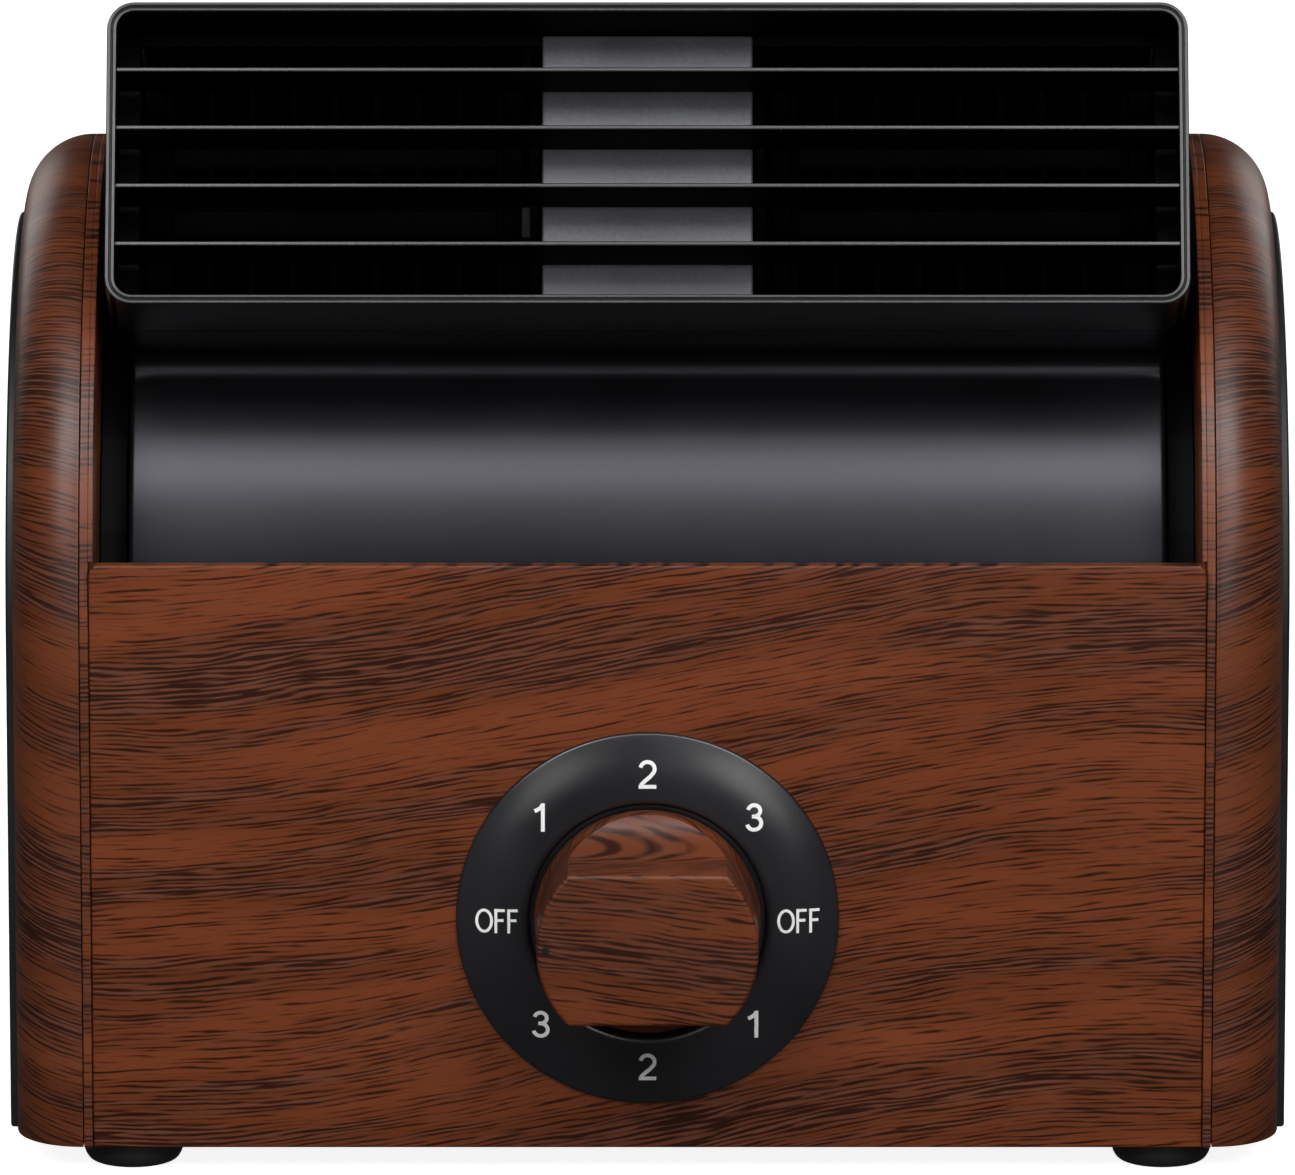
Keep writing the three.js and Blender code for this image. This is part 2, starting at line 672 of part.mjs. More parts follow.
function makeDrumEnd() {
  const inner = DRUM_HALF_LENGTH - SHELL;
  const plate = extrudeAcross(headShape(0, NOZZLE_FRONT_Y), inner, DRUM_HALF_LENGTH);
  const inlet = turnAcross(rodProfile(COLLAR_BORE_RADIUS, 0, FAR));
  const collar = turnAcross(tubeProfile(COLLAR_BORE_RADIUS, COLLAR_RADIUS, inner + 0.5, COLLAR_END_X));
  const boss = turnAcross(rodProfile(BEARING_BOSS_RADIUS, inner - 4, DRUM_HALF_LENGTH + 2), COARSE);
  const arms = [0, 1, 2].map((k) => {
    const w = INLET_ARM_HALF_WIDTH;
    const arm = box(inner, DRUM_HALF_LENGTH, -w, w, 0, COLLAR_BORE_RADIUS + 1);
    return solidOf(geometryOf(arm).rotateX(k * 2 * Math.PI / 3));
  });
  const bearing = turnAcross(rodProfile(SHAFT_BORE_RADIUS, 0, FAR), COARSE);
  return cut(joined(cut(plate, inlet), collar, boss, ...arms), bearing);
}

/** Rounded outlet frame with an inner flange at its back and four slats across it. */
function makeOutletGrille() {
  const w = GRILLE_HALF_WIDTH;
  const low = NOZZLE_FLOOR_Z;
  const high = NOZZLE_ROOF_Z;
  const inner = GRILLE_CORNER - SHELL;
  const rim = roundedRectangle(-w, w, low, high, GRILLE_CORNER);
  rim.holes.push(roundedRectangle(-w + SHELL, w - SHELL, low + SHELL, high - SHELL, inner, THREE.Path));
  const corners = { curveSegments: GRILLE_CORNER_STEPS };
  const frame = extrudeBack(rim, OUTLET_Y, GRILLE_BACK_Y, corners);
  const step = roundedRectangle(-w, w, low, high, GRILLE_CORNER);
  const side = w - GRILLE_FLANGE;
  const lip = 2 * SHELL;
  step.holes.push(rectangle(-side, side, low + lip, high - lip, THREE.Path));
  const flange = extrudeBack(step, GRILLE_BACK_Y - SHELL, GRILLE_BACK_Y, corners);
  const slats = [];
  for (let k = 0; k < SLAT_COUNT; k += 1) {
    const z = high - FIRST_SLAT_DROP - k * SLAT_PITCH;
    const front = OUTLET_Y + SLAT_SETBACK;
    slats.push(box(-w + 1, w - 1, front, front + SLAT_DEPTH, z - SLAT_THICKNESS / 2, z + SLAT_THICKNESS / 2));
  }
  return joined(frame, flange, ...slats);
}

/** Channel in the middle of the outlet, with its web facing the slats. */
function makeCentrePlate() {
  const w = CENTRE_PLATE_HALF_WIDTH;
  const back = GRILLE_BACK_Y - SHELL - GAP;
  const front = back - CENTRE_PLATE_THICKNESS;
  const low = NOZZLE_FLOOR_Z + SHELL + GAP;
  const high = NOZZLE_ROOF_Z - SHELL - GAP;
  const web = box(-w, w, front, back, low, high);
  const sides = [-1, 1].map((side) => {
    const edge = side * w;
    const x0 = Math.min(edge, edge - side * CENTRE_PLATE_THICKNESS);
    return box(x0, x0 + CENTRE_PLATE_THICKNESS, front, HEATER_BACK_Y, HEATER_LOW_Z, HEATER_HIGH_Z - GAP);
  });
  return joined(web, ...sides);
}

function makeRetainerRing() {
  return turnAcross(tubeProfile(COLLAR_RADIUS + 0.1, RING_RADIUS, RING_START_X, RING_END_X));
}

function makePivotBush() {
  const bush = turnAcross([
    [BUSH_BORE_RADIUS, BUSH_FLANGE_X],
    [BUSH_FLANGE_RADIUS, BUSH_FLANGE_X],
    [BUSH_FLANGE_RADIUS, WALL_INNER_X - GAP],
    [BUSH_SLEEVE_RADIUS, WALL_INNER_X - GAP],
    [BUSH_SLEEVE_RADIUS, BUSH_END_X],
    [BUSH_BORE_RADIUS, BUSH_END_X],
    [BUSH_BORE_RADIUS, BUSH_FLANGE_X],
  ]);
  return moved(bush, 0, AXIS_Y, AXIS_Z);
}

// Head: motor, impellers and heaters

function makeMotorBody() {
  const nose = MOTOR_HALF_LENGTH + MOTOR_NOSE_LENGTH;
  return turnAcross([
    [SHAFT_BORE_RADIUS, -nose],
    [MOTOR_NOSE_RADIUS, -nose],
    [MOTOR_NOSE_RADIUS, -MOTOR_HALF_LENGTH],
    [MOTOR_RADIUS - MOTOR_EDGE, -MOTOR_HALF_LENGTH],
    [MOTOR_RADIUS, -MOTOR_HALF_LENGTH + MOTOR_EDGE],
    [MOTOR_RADIUS, MOTOR_HALF_LENGTH - MOTOR_EDGE],
    [MOTOR_RADIUS - MOTOR_EDGE, MOTOR_HALF_LENGTH],
    [MOTOR_NOSE_RADIUS, MOTOR_HALF_LENGTH],
    [MOTOR_NOSE_RADIUS, nose],
    [SHAFT_BORE_RADIUS, nose],
    [SHAFT_BORE_RADIUS, -nose],
  ], FINE);
}

/** Strap round the motor with two feet on the drum's wall. */
function makeMotorBracket() {
  const strapHalfWidth = 7;
  const legHalfWidth = 6;
  const legSpacing = 16;
  const legHalfThickness = 1.5;
  const footZ = -DRUM_RADIUS + 5;
  const strapProfile = tubeProfile(MOTOR_RADIUS + GAP, MOTOR_RADIUS + 2.5, -strapHalfWidth, strapHalfWidth);
  const strap = turnAcross(strapProfile, FINE);
  const legs = [-legSpacing, legSpacing].map((y) => {
    const [front, back] = [y - legHalfThickness, y + legHalfThickness];
    return box(-legHalfWidth, legHalfWidth, front, back, footZ, -MOTOR_RADIUS * 0.7);
  });
  const footReach = legSpacing + legHalfThickness;
  const foot = box(-legHalfWidth, legHalfWidth, -footReach, footReach, footZ, footZ + 2);
  const bore = turnAcross(rodProfile(MOTOR_RADIUS + GAP, -FAR, FAR), FINE);
  const inside = extrudeAcross(headShape(SHELL + GAP, NOZZLE_FRONT_Y), -FAR, FAR);
  return cut(joined(strap, ...legs, foot), bore).intersect(inside);
}

/** Wall between the motor's chamber and an impeller's. */
function makeBulkhead() {
  const outline = headShape(SHELL + GAP, HEATER_BACK_Y + GAP);
  const end = BULKHEAD_X + BULKHEAD_THICKNESS;
  const plate = extrudeAcross(outline, BULKHEAD_X, end, { curveSegments: COARSE });
  return cut(plate, turnAcross(rodProfile(BULKHEAD_HOLE_RADIUS, 0, FAR), COARSE));
}

function makeMotorShaft() {
  return turnAcross(rodProfile(SHAFT_RADIUS, -SHAFT_HALF_LENGTH, SHAFT_HALF_LENGTH), COARSE);
}

/** One blade, leaning forwards from its inner edge to its outer edge. */
function bladeShape() {
  const outer = IMPELLER_RADIUS - 0.6;
  const shape = new THREE.Shape();
  shape.moveTo(IMPELLER_INNER_RADIUS, -0.5);
  shape.lineTo(outer, 2.3);
  shape.lineTo(outer, 3.3);
  shape.lineTo(IMPELLER_INNER_RADIUS, 0.5);
  shape.closePath();
  return shape;
}

/** Squirrel-cage impeller: a hub disc, blades round it and a ring at its open end. */
function makeImpeller() {
  const disc = turnAcross(rodProfile(IMPELLER_RADIUS, IMPELLER_START_X, IMPELLER_START_X + IMPELLER_DISC));
  const hubEnd = IMPELLER_START_X + IMPELLER_HUB_LENGTH;
  const hub = turnAcross(rodProfile(IMPELLER_HUB_RADIUS, IMPELLER_START_X, hubEnd), COARSE);
  const ring = turnAcross(
    tubeProfile(IMPELLER_INNER_RADIUS - 0.5, IMPELLER_RADIUS, IMPELLER_END_X - IMPELLER_DISC, IMPELLER_END_X),
  );
  const blades = [];
  for (let k = 0; k < BLADE_COUNT; k += 1) {
    const blade = extrudeAcross(bladeShape(), IMPELLER_START_X + 0.5, IMPELLER_END_X - 0.5);
    blades.push(solidOf(geometryOf(blade).rotateX(k * 2 * Math.PI / BLADE_COUNT)));
  }
  const bore = turnAcross(rodProfile(SHAFT_BORE_RADIUS, 0, FAR), COARSE);
  return cut(joined(disc, hub, ring, ...blades), bore);
}

/** Spring collar that grips an impeller's hub. */
function makeImpellerClip() {
  const inner = IMPELLER_HUB_RADIUS + GAP;
  return turnAcross(tubeProfile(inner, inner + 1.3, IMPELLER_CLIP_X, IMPELLER_CLIP_X + 3), COARSE);
}

function makeHeaterFrame() {
  const outline = rectangle(HEATER_INNER_X, HEATER_OUTER_X, HEATER_LOW_Z, HEATER_HIGH_Z);
  const t = HEATER_WALL;
  outline.holes.push(rectangle(
    HEATER_INNER_X + t, HEATER_OUTER_X - t, HEATER_LOW_Z + t, HEATER_HIGH_Z - t, THREE.Path,
  ));
  return extrudeBack(outline, HEATER_FRONT_Y, HEATER_BACK_Y);
}

/** The three banks of fins lie below, between and above the two ceramic bars. */
function finBanks() {
  const half = PTC_BAR_HEIGHT / 2 + GAP + FIN_THICKNESS;
  const [lowBar, highBar] = PTC_BAR_PLACES;
  return [
    [FIN_Z0 + FIN_THICKNESS, lowBar - half],
    [lowBar + half, highBar - half],
    [highBar + half, FIN_Z1 - FIN_THICKNESS],
  ];
}

function makeHeaterFins() {
  const block = box(FIN_X0, FIN_X1, HEATER_FRONT_Y + 1, HEATER_BACK_Y - 1, FIN_Z0, FIN_Z1);
  const pitch = (FIN_X1 - FIN_X0 - FIN_THICKNESS) / FIN_COLUMNS;
  const cells = [];
  for (const [low, high] of finBanks()) {
    for (let column = 0; column < FIN_COLUMNS; column += 1) {
      const x = FIN_X0 + FIN_THICKNESS + column * pitch;
      cells.push(box(x, x + pitch - FIN_THICKNESS, -FAR, FAR, low, high));
    }
  }
  const half = PTC_BAR_HEIGHT / 2 + GAP;
  const slots = PTC_BAR_PLACES.map((z) => {
    return box(FIN_X0 + FIN_THICKNESS, FIN_X1 - FIN_THICKNESS, -FAR, FAR, z - half, z + half);
  });
  return cut(block, ...cells, ...slots);
}

function makePtcBar(z) {
  const inset = FIN_THICKNESS + GAP;
  const half = PTC_BAR_HEIGHT / 2;
  return box(FIN_X0 + inset, FIN_X1 - inset, HEATER_FRONT_Y + 1.5, HEATER_BACK_Y - 1.5, z - half, z + half);
}

/** Snap-disc thermostat on the left bulkhead, above the impeller. */
function makeThermalCutout() {
  const start = BULKHEAD_X + BULKHEAD_THICKNESS + GAP;
  const place = [0, -18, 62];
  const disc = turnAcross([
    [0, start], [7, start], [7, start + 4], [5, start + 5.5], [0, start + 5.5],
  ], COARSE);
  return mirrored(moved(disc, ...place));
}

/** One-shot fuse in a ceramic sleeve, behind the right heating unit. */
function makeThermalFuse() {
  const start = BULKHEAD_X + BULKHEAD_THICKNESS + 8;
  const place = [0, -46, 60];
  const fuse = turnAcross([
    [0, start], [0.6, start], [0.6, start + 4], [2, start + 5],
    [2, start + 15], [0.6, start + 16], [0.6, start + 20], [0, start + 20],
  ], COARSE);
  return moved(fuse, ...place);
}

// Finishes: colour, roughness and metalness

const FINISHES = {
  wood: [0x6b3320, 0.45, 0],
  blackSatin: [0x17171a, 0.42, 0],
  blackGloss: [0x101012, 0.2, 0],
  rubber: [0x151515, 0.85, 0],
  greyPlate: [0x434348, 0.45, 0.1],
  darkPlastic: [0x202022, 0.6, 0],
  whitePlastic: [0xe2e0d8, 0.5, 0],
  steel: [0x9a9da1, 0.35, 0.9],
  brass: [0xb89a55, 0.35, 0.9],
  aluminium: [0xb5b8bb, 0.4, 0.9],
  blackMetal: [0x1c1c1e, 0.55, 0.2],
  ceramic: [0x4a4744, 0.6, 0],
};

function addPiece(group, name, solid, finish) {
  const [color, roughness, metalness] = FINISHES[finish];
  const material = new THREE.MeshStandardMaterial({ color, roughness, metalness });
  const mesh = new THREE.Mesh(geometryOf(solid), material);
  mesh.name = name;
  group.add(mesh);
}

/** Adds a piece and its mirror image; the solid given is the right-hand one. */
function addPair(group, nameOf, solid, finish) {
  addPiece(group, nameOf('right'), solid, finish);
  addPiece(group, nameOf('left'), mirrored(solid), finish);
}

function addCabinet(group) {
  addPair(group, (side) => `${side}_cheek`, makeCheek(), 'wood');
  addPair(group, (side) => `${side}_inner_wall`, makeInnerWall(), 'wood');
  addPair(group, (side) => `${side}_side_cover`, makeSideCover(), 'blackSatin');
  addPair(group, (side) => `${side}_pivot_bush`, makePivotBush(), 'darkPlastic');
  addPiece(group, 'front_panel', makeFrontPanel(), 'wood');
  addPiece(group, 'rear_panel', makeRearPanel(), 'wood');
  addPiece(group, 'base_plate', makeBasePlate(), 'darkPlastic');
  addPiece(group, 'drum_cradle', makeDrumCradle(), 'darkPlastic');
  addPiece(group, 'cord_gland', makeCordGland(), 'rubber');
  addPiece(group, 'tilt_switch', makeTiltSwitch(), 'whitePlastic');
  addPiece(group, 'terminal_block', makeTerminalBlock(), 'whitePlastic');
  const footNames = ['front_left', 'front_right', 'rear_left', 'rear_right'];
  footPlaces().forEach(([x, y], k) => {
    addPiece(group, `foot_${footNames[k]}`, moved(makeFoot(), x, y, 0), 'rubber');
  });
  screwPlaces().forEach(([x, y], k) => {
    addPiece(group, `base_screw_${k + 1}`, moved(makeBaseScrew(), x, y, 0), 'steel');
  });
}

function addControl(group) {
  const control = new THREE.Group();
  control.position.set(0, FRONT_Y, KNOB_Z);
  addPiece(control, 'dial_plate', makeDialPlate(), 'blackGloss');
  addPiece(control, 'knob', makeKnob(), 'wood');
  addPiece(control, 'knob_shaft', makeKnobShaft(), 'brass');
  addPiece(control, 'rotary_switch', makeRotarySwitch(), 'darkPlastic');
  addPiece(control, 'switch_nut', makeSwitchNut(), 'steel');
  group.add(control);
}

function addHeaters(head) {
  addPair(head, (side) => `heater_frame_${side}`, makeHeaterFrame(), 'darkPlastic');
  addPair(head, (side) => `heater_fins_${side}`, makeHeaterFins(), 'blackMetal');
  PTC_BAR_PLACES.forEach((z, k) => {
    const place = ['lower', 'upper'][k];
    addPair(head, (side) => `ptc_bar_${side}_${place}`, makePtcBar(z), 'ceramic');
  });
  addPiece(head, 'thermal_cutout', makeThermalCutout(), 'aluminium');
  addPiece(head, 'thermal_fuse', makeThermalFuse(), 'ceramic');
}

function addBlower(head) {
  addPiece(head, 'motor_body', makeMotorBody(), 'steel');
  addPiece(head, 'motor_bracket', makeMotorBracket(), 'steel');
  addPair(head, (side) => `${side}_bulkhead`, makeBulkhead(), 'darkPlastic');
  addPiece(head, 'motor_shaft', makeMotorShaft(), 'steel');
  addPair(head, (side) => `${side}_impeller`, makeImpeller(), 'darkPlastic');
  addPair(head, (side) => `${side}_impeller_clip`, makeImpellerClip(), 'steel');
}

function addHead(group) {
  const head = new THREE.Group();
  head.position.set(0, AXIS_Y, AXIS_Z);
  head.rotation.x = -HEAD_TILT;
  addPiece(head, 'drum_front_shell', makeFrontShell(), 'blackSatin');
  addPiece(head, 'drum_rear_shell', makeRearShell(), 'blackSatin');
  addPair(head, (side) => `drum_${side}_end`, makeDrumEnd(), 'blackSatin');
  addPiece(head, 'outlet_grille', makeOutletGrille(), 'blackSatin');
  addPiece(head, 'centre_plate', makeCentrePlate(), 'greyPlate');
  addPair(head, (side) => `${side}_retainer_ring`, makeRetainerRing(), 'darkPlastic');
  addBlower(head);
  addHeaters(head);
  group.add(head);
}

const heater = new THREE.Group();
addCabinet(heater);
addControl(heater);
addHead(heater);

export default heater;
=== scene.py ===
"""Looks of a desktop ceramic heater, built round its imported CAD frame. Lengths are in metres."""
import json
from math import asin, ceil, cos, pi, radians, sin, sqrt

import bmesh
import bpy
from mathutils import Matrix, Vector


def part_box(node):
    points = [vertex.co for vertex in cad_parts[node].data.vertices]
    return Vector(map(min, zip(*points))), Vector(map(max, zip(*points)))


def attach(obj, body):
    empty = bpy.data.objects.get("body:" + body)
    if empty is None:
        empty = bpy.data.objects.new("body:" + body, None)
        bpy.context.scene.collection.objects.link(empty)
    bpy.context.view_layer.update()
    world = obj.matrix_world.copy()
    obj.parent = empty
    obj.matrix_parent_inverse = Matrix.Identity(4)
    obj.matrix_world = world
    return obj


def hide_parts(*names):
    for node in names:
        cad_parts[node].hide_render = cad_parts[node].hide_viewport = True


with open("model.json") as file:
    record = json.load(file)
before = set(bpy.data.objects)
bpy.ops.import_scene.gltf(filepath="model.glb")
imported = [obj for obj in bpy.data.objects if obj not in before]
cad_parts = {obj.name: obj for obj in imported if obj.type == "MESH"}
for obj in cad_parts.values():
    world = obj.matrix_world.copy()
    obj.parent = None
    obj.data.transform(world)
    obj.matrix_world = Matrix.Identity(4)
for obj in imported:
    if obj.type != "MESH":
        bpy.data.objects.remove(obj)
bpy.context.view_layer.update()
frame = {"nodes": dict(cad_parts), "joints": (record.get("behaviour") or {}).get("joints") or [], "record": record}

MM = 0.001

# ---------------------------------------------------------------- places taken from the frame

joints = {joint["name"]: joint for joint in frame["joints"]}
panel_low, panel_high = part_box("front_panel")
cheek_low, cheek_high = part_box("right_cheek")
wall_low, wall_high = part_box("right_inner_wall")
cover_low, cover_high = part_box("right_side_cover")
dial_low, dial_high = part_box("dial_plate")
knob_low, knob_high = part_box("knob")

FRONT_Y = panel_low.y
BODY_BOTTOM = panel_low.z
ARCH_RADIUS = (cheek_high.y - cheek_low.y) / 2
ARCH_Y = (cheek_high.y + cheek_low.y) / 2
ARCH_Z = cheek_high.z - ARCH_RADIUS
KNOB_Z = joints["knob_turn"]["pos_m"][2]
HEAD_PIVOT = Vector(joints["head_tilt"]["pos_m"])

# ---------------------------------------------------------------- sizes of the details

HEAD_TILT = radians(28)
GAP = 0.3 * MM
BULLNOSE = cheek_high.x - cheek_low.x
COVER_RADIUS = (cover_high.y - cover_low.y) / 2
COVER_PLATE = 3 * MM
WALL_INNER = 99.9 * MM
PANEL_EDGE = 0.4 * MM
SEAM_CLOSE = 0.16 * MM
PANEL_CORNER = 2 * MM

SLOT_HEIGHT = 3.6 * MM
SLOT_PITCH = 7 * MM
SLOT_ROWS = 13
SLOT_FIELD_RADIUS = 47 * MM

DRUM_RADIUS = 57 * MM
DRUM_HALF_LENGTH = 94.4 * MM
DRUM_END_ROUND = 1.1 * MM
SHELL = 1.8 * MM
NOZZLE_FLOOR = 25.4 * MM
NOZZLE_ROOF = NOZZLE_FLOOR + DRUM_RADIUS
NOZZLE_FILLET = 3.4 * MM
OUTLET_Y = -87.6 * MM
GRILLE_HALF_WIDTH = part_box("outlet_grille")[1].x
GRILLE_DEPTH = 17.3 * MM
GRILLE_BACK = OUTLET_Y + GRILLE_DEPTH
GRILLE_CORNER = 5 * MM
SLAT_COUNT = 4
SLAT_PITCH = 10.95 * MM
FIRST_SLAT_DROP = 12.6 * MM
SLAT_THICKNESS = 0.85 * MM
SLAT_SETBACK = 0.7 * MM
SLAT_DEPTH = 12.6 * MM
COLLAR_RADIUS = 40 * MM
COLLAR_BORE = 37 * MM
COLLAR_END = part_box("drum_right_end")[1].x
END_PLATE_GAP = 0.1 * MM
HUB_RADIUS = 7 * MM
SPIDER_ARM = 4 * MM
PIVOT_HOLE = 42.6 * MM

SPINDLE_HOLE = 5.4 * MM
GRIP_RADIUS = 20 * MM
GRIP_HALF_HEIGHT = 14 * MM
DIGIT_RING = 27.3 * MM
INK = 0.04 * MM
STROKE_STEP = 0.35 * MM
DIGIT_SIZE = (5.15 * MM, 0.70 * MM)
WORD_SIZE = (4.5 * MM, 0.52 * MM)

CAD_EDGE = 0.25 * MM

# ---------------------------------------------------------------- outlines


def arc(centre, radius, start, end, steps):
    """Points on an arc, from one angle to another, both ends included."""
    angles = [start + (end - start) * k / steps for k in range(steps + 1)]
    return [(centre[0] + radius * cos(a), centre[1] + radius * sin(a)) for a in angles]


def arch_outline(radius, bottom, steps=72):
    """Upright sides under half a circle, in y and z."""
    top = arc((ARCH_Y, ARCH_Z), radius, 0, pi, steps)
    return [(ARCH_Y + radius, bottom)] + top + [(ARCH_Y - radius, bottom)]


def rectangle(x0, x1, z0, z1):
    return [(x0, z0), (x1, z0), (x1, z1), (x0, z1)]


def rounded_rectangle(x0, x1, z0, z1, radius, steps=8):
    corners = [
        (x1 - radius, z0 + radius, -pi / 2),
        (x1 - radius, z1 - radius, 0),
        (x0 + radius, z1 - radius, pi / 2),
        (x0 + radius, z0 + radius, pi),
    ]
    points = []
    for x, z, start in corners:
        points += arc((x, z), radius, start, start + pi / 2, steps)
    return points


def rounded(points, radius, steps=4, closed=True):
    """The same outline with its corners turned into short curves."""
    count = len(points)
    result = []
    for k, corner in enumerate(points):
        if not closed and k in (0, count - 1):
            result.append(corner)
            continue
        here = Vector(corner)
        before = Vector(points[k - 1])
        after = Vector(points[(k + 1) % count])
        back = before - here
        ahead = after - here
        reach = min(radius, back.length * 0.45, ahead.length * 0.45)
        first = here + back.normalized() * reach
        last = here + ahead.normalized() * reach
        for step in range(steps + 1):
            t = step / steps
            point = first * (1 - t) ** 2 + here * 2 * t * (1 - t) + last * t * t
            result.append(tuple(point))
    return result


def circle(centre, radius, steps=48):
    return arc(centre, radius, 0, 2 * pi * (steps - 1) / steps, steps - 1)


# ---------------------------------------------------------------- meshes


def new_object(name, mesh):
    piece = bpy.data.objects.new(name, mesh)
    bpy.context.scene.collection.objects.link(piece)
    return piece


def tidy(mesh, weld=2e-6):
    """Welds what coincides and turns every face outwards."""
    bm = bmesh.new()
    bm.from_mesh(mesh)
    bmesh.ops.remove_doubles(bm, verts=bm.verts, dist=weld)
    bmesh.ops.dissolve_degenerate(bm, edges=bm.edges, dist=weld / 2)
    bmesh.ops.recalc_face_normals(bm, faces=bm.faces)
    bm.to_mesh(mesh)
    bm.free()
    return mesh


def mesh_from(name, vertices, faces):
    mesh = bpy.data.meshes.new(name)
    mesh.from_pydata([tuple(v) for v in vertices], [], faces)
    return tidy(mesh)


def skin_faces(count, size, closed_path=False):
    """Faces through a number of closed sections of the same size, with caps on an open path."""
    faces = []
    for i in range(count if closed_path else count - 1):
        here = i * size
        there = ((i + 1) % count) * size
        for k in range(size):
            nxt = (k + 1) % size
            faces.append((here + k, here + nxt, there + nxt, there + k))
    if not closed_path:
        faces.append(tuple(range(size)))
        faces.append(tuple(range((count - 1) * size, count * size)))
    return faces


def sweep(name, sections, closed_path=False):
    """A skin through closed sections that all have the same number of points."""
    vertices = [point for section in sections for point in section]
    faces = skin_faces(len(sections), len(sections[0]), closed_path)
    return mesh_from(name, vertices, faces)


def turned(name, profile, place, steps=72, closed=False):
    """A [radius, height] profile turned about the z axis of place."""
    count = len(profile)
    vertices = []
    for k in range(steps):
        angle = 2 * pi * k / steps
        for radius, height in profile:
            vertices.append((radius * cos(angle), radius * sin(angle), height))
    faces = []
    for k in range(steps):
        here = k * count
        there = ((k + 1) % steps) * count
        for i in range(count if closed else count - 1):
            nxt = (i + 1) % count
            faces.append((here + i, here + nxt, there + nxt, there + i))
    mesh = mesh_from(name, vertices, faces)
    mesh.transform(place)
    return tidy(mesh)


def plane_at(a_axis, b_axis, origin):
    """A frame whose x and y run along two axes and whose z is square to both."""
    a = Vector(a_axis)
    b = Vector(b_axis)
    w = a.cross(b)
    matrix = Matrix((a, b, w)).transposed().to_4x4()
    matrix.translation = Vector(origin)
    return matrix


def upright(x, y, z):
    return Matrix.Translation((x, y, z))


def facing_front(x, y, z):
    """z of this frame points out of the front panel."""
    return plane_at((1, 0, 0), (0, 0, 1), (x, y, z))


def facing_side(x, y, z, side=1):
    """z of this frame points along x, away from the middle on that side."""
    return plane_at((0, side, 0), (0, 0, 1), (x, y, z))


def plate(name, outlines, thickness, edge, place, resolution=3):
    """A flat piece with rounded edges; the first outline is its rim, the others are holes."""
    curve = bpy.data.curves.new(name, "CURVE")
    curve.dimensions = "2D"
    curve.fill_mode = "BOTH"
    curve.extrude = thickness / 2 - edge
    curve.bevel_depth = edge
    curve.bevel_resolution = resolution
    curve.offset = -edge
    for k, outline in enumerate(outlines):
        points = outline if k == 0 else outline[::-1]
        spline = curve.splines.new("POLY")
        spline.points.add(len(points) - 1)
        for target, (a, b) in zip(spline.points, points):
            target.co = (a, b, 0, 1)
        spline.use_cyclic_u = True
    holder = new_object(name, curve)
    graph = bpy.context.evaluated_depsgraph_get()
    mesh = bpy.data.meshes.new_from_object(holder.evaluated_get(graph))
    bpy.data.objects.remove(holder)
    bpy.data.curves.remove(curve)
    mesh.transform(place)
    return tidy(mesh)


def block(name, low, high, edge=0.3 * MM, segments=2):
    """A box between two corners, with its edges rounded."""
    bm = bmesh.new()
    bmesh.ops.create_cube(bm, size=1)
    for vertex in bm.verts:
        for axis in range(3):
            vertex.co[axis] = low[axis] if vertex.co[axis] < 0 else high[axis]
    bmesh.ops.bevel(
        bm, geom=bm.edges[:], offset=edge, segments=segments, profile=0.5, affect="EDGES",
    )
    mesh = bpy.data.meshes.new(name)
    bm.to_mesh(mesh)
    bm.free()
    return tidy(mesh)


def together(name, meshes):
    """One mesh that holds several."""
    bm = bmesh.new()
    for mesh in meshes:
        bm.from_mesh(mesh)
    whole = bpy.data.meshes.new(name)
    bm.to_mesh(whole)
    bm.free()
    for mesh in meshes:
        bpy.data.meshes.remove(mesh)
    return whole


def mirrored(mesh):
    """The same mesh on the other side of the middle plane, faces still outwards."""
    copy = mesh.copy()
    copy.transform(Matrix.Diagonal((-1, 1, 1, 1)))
    copy.flip_normals()
    return copy


HEAD = Matrix.Translation(HEAD_PIVOT) @ Matrix.Rotation(-HEAD_TILT, 4, "X")


def in_head(mesh):
    """Takes a mesh from the head's own frame, outlet towards -y, to where the head stands."""
    mesh.transform(HEAD)
    return mesh


SMOOTH_ANGLE = radians(32)


def shade(mesh, angle):
    for polygon in mesh.polygons:
        polygon.use_smooth = True
    mesh.set_sharp_from_angle(angle=angle)


def finish_piece(name, mesh, material, body, replaced, angle=SMOOTH_ANGLE):
    """Gives a finished mesh its material and body, and hides the CAD nodes that it stands for."""
    shade(mesh, angle)
    if not mesh.materials:
        mesh.materials.append(material)
    piece = new_object(name, mesh)
    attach(piece, body)
    if replaced:
        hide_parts(*replaced)
    return piece


# ---------------------------------------------------------------- materials


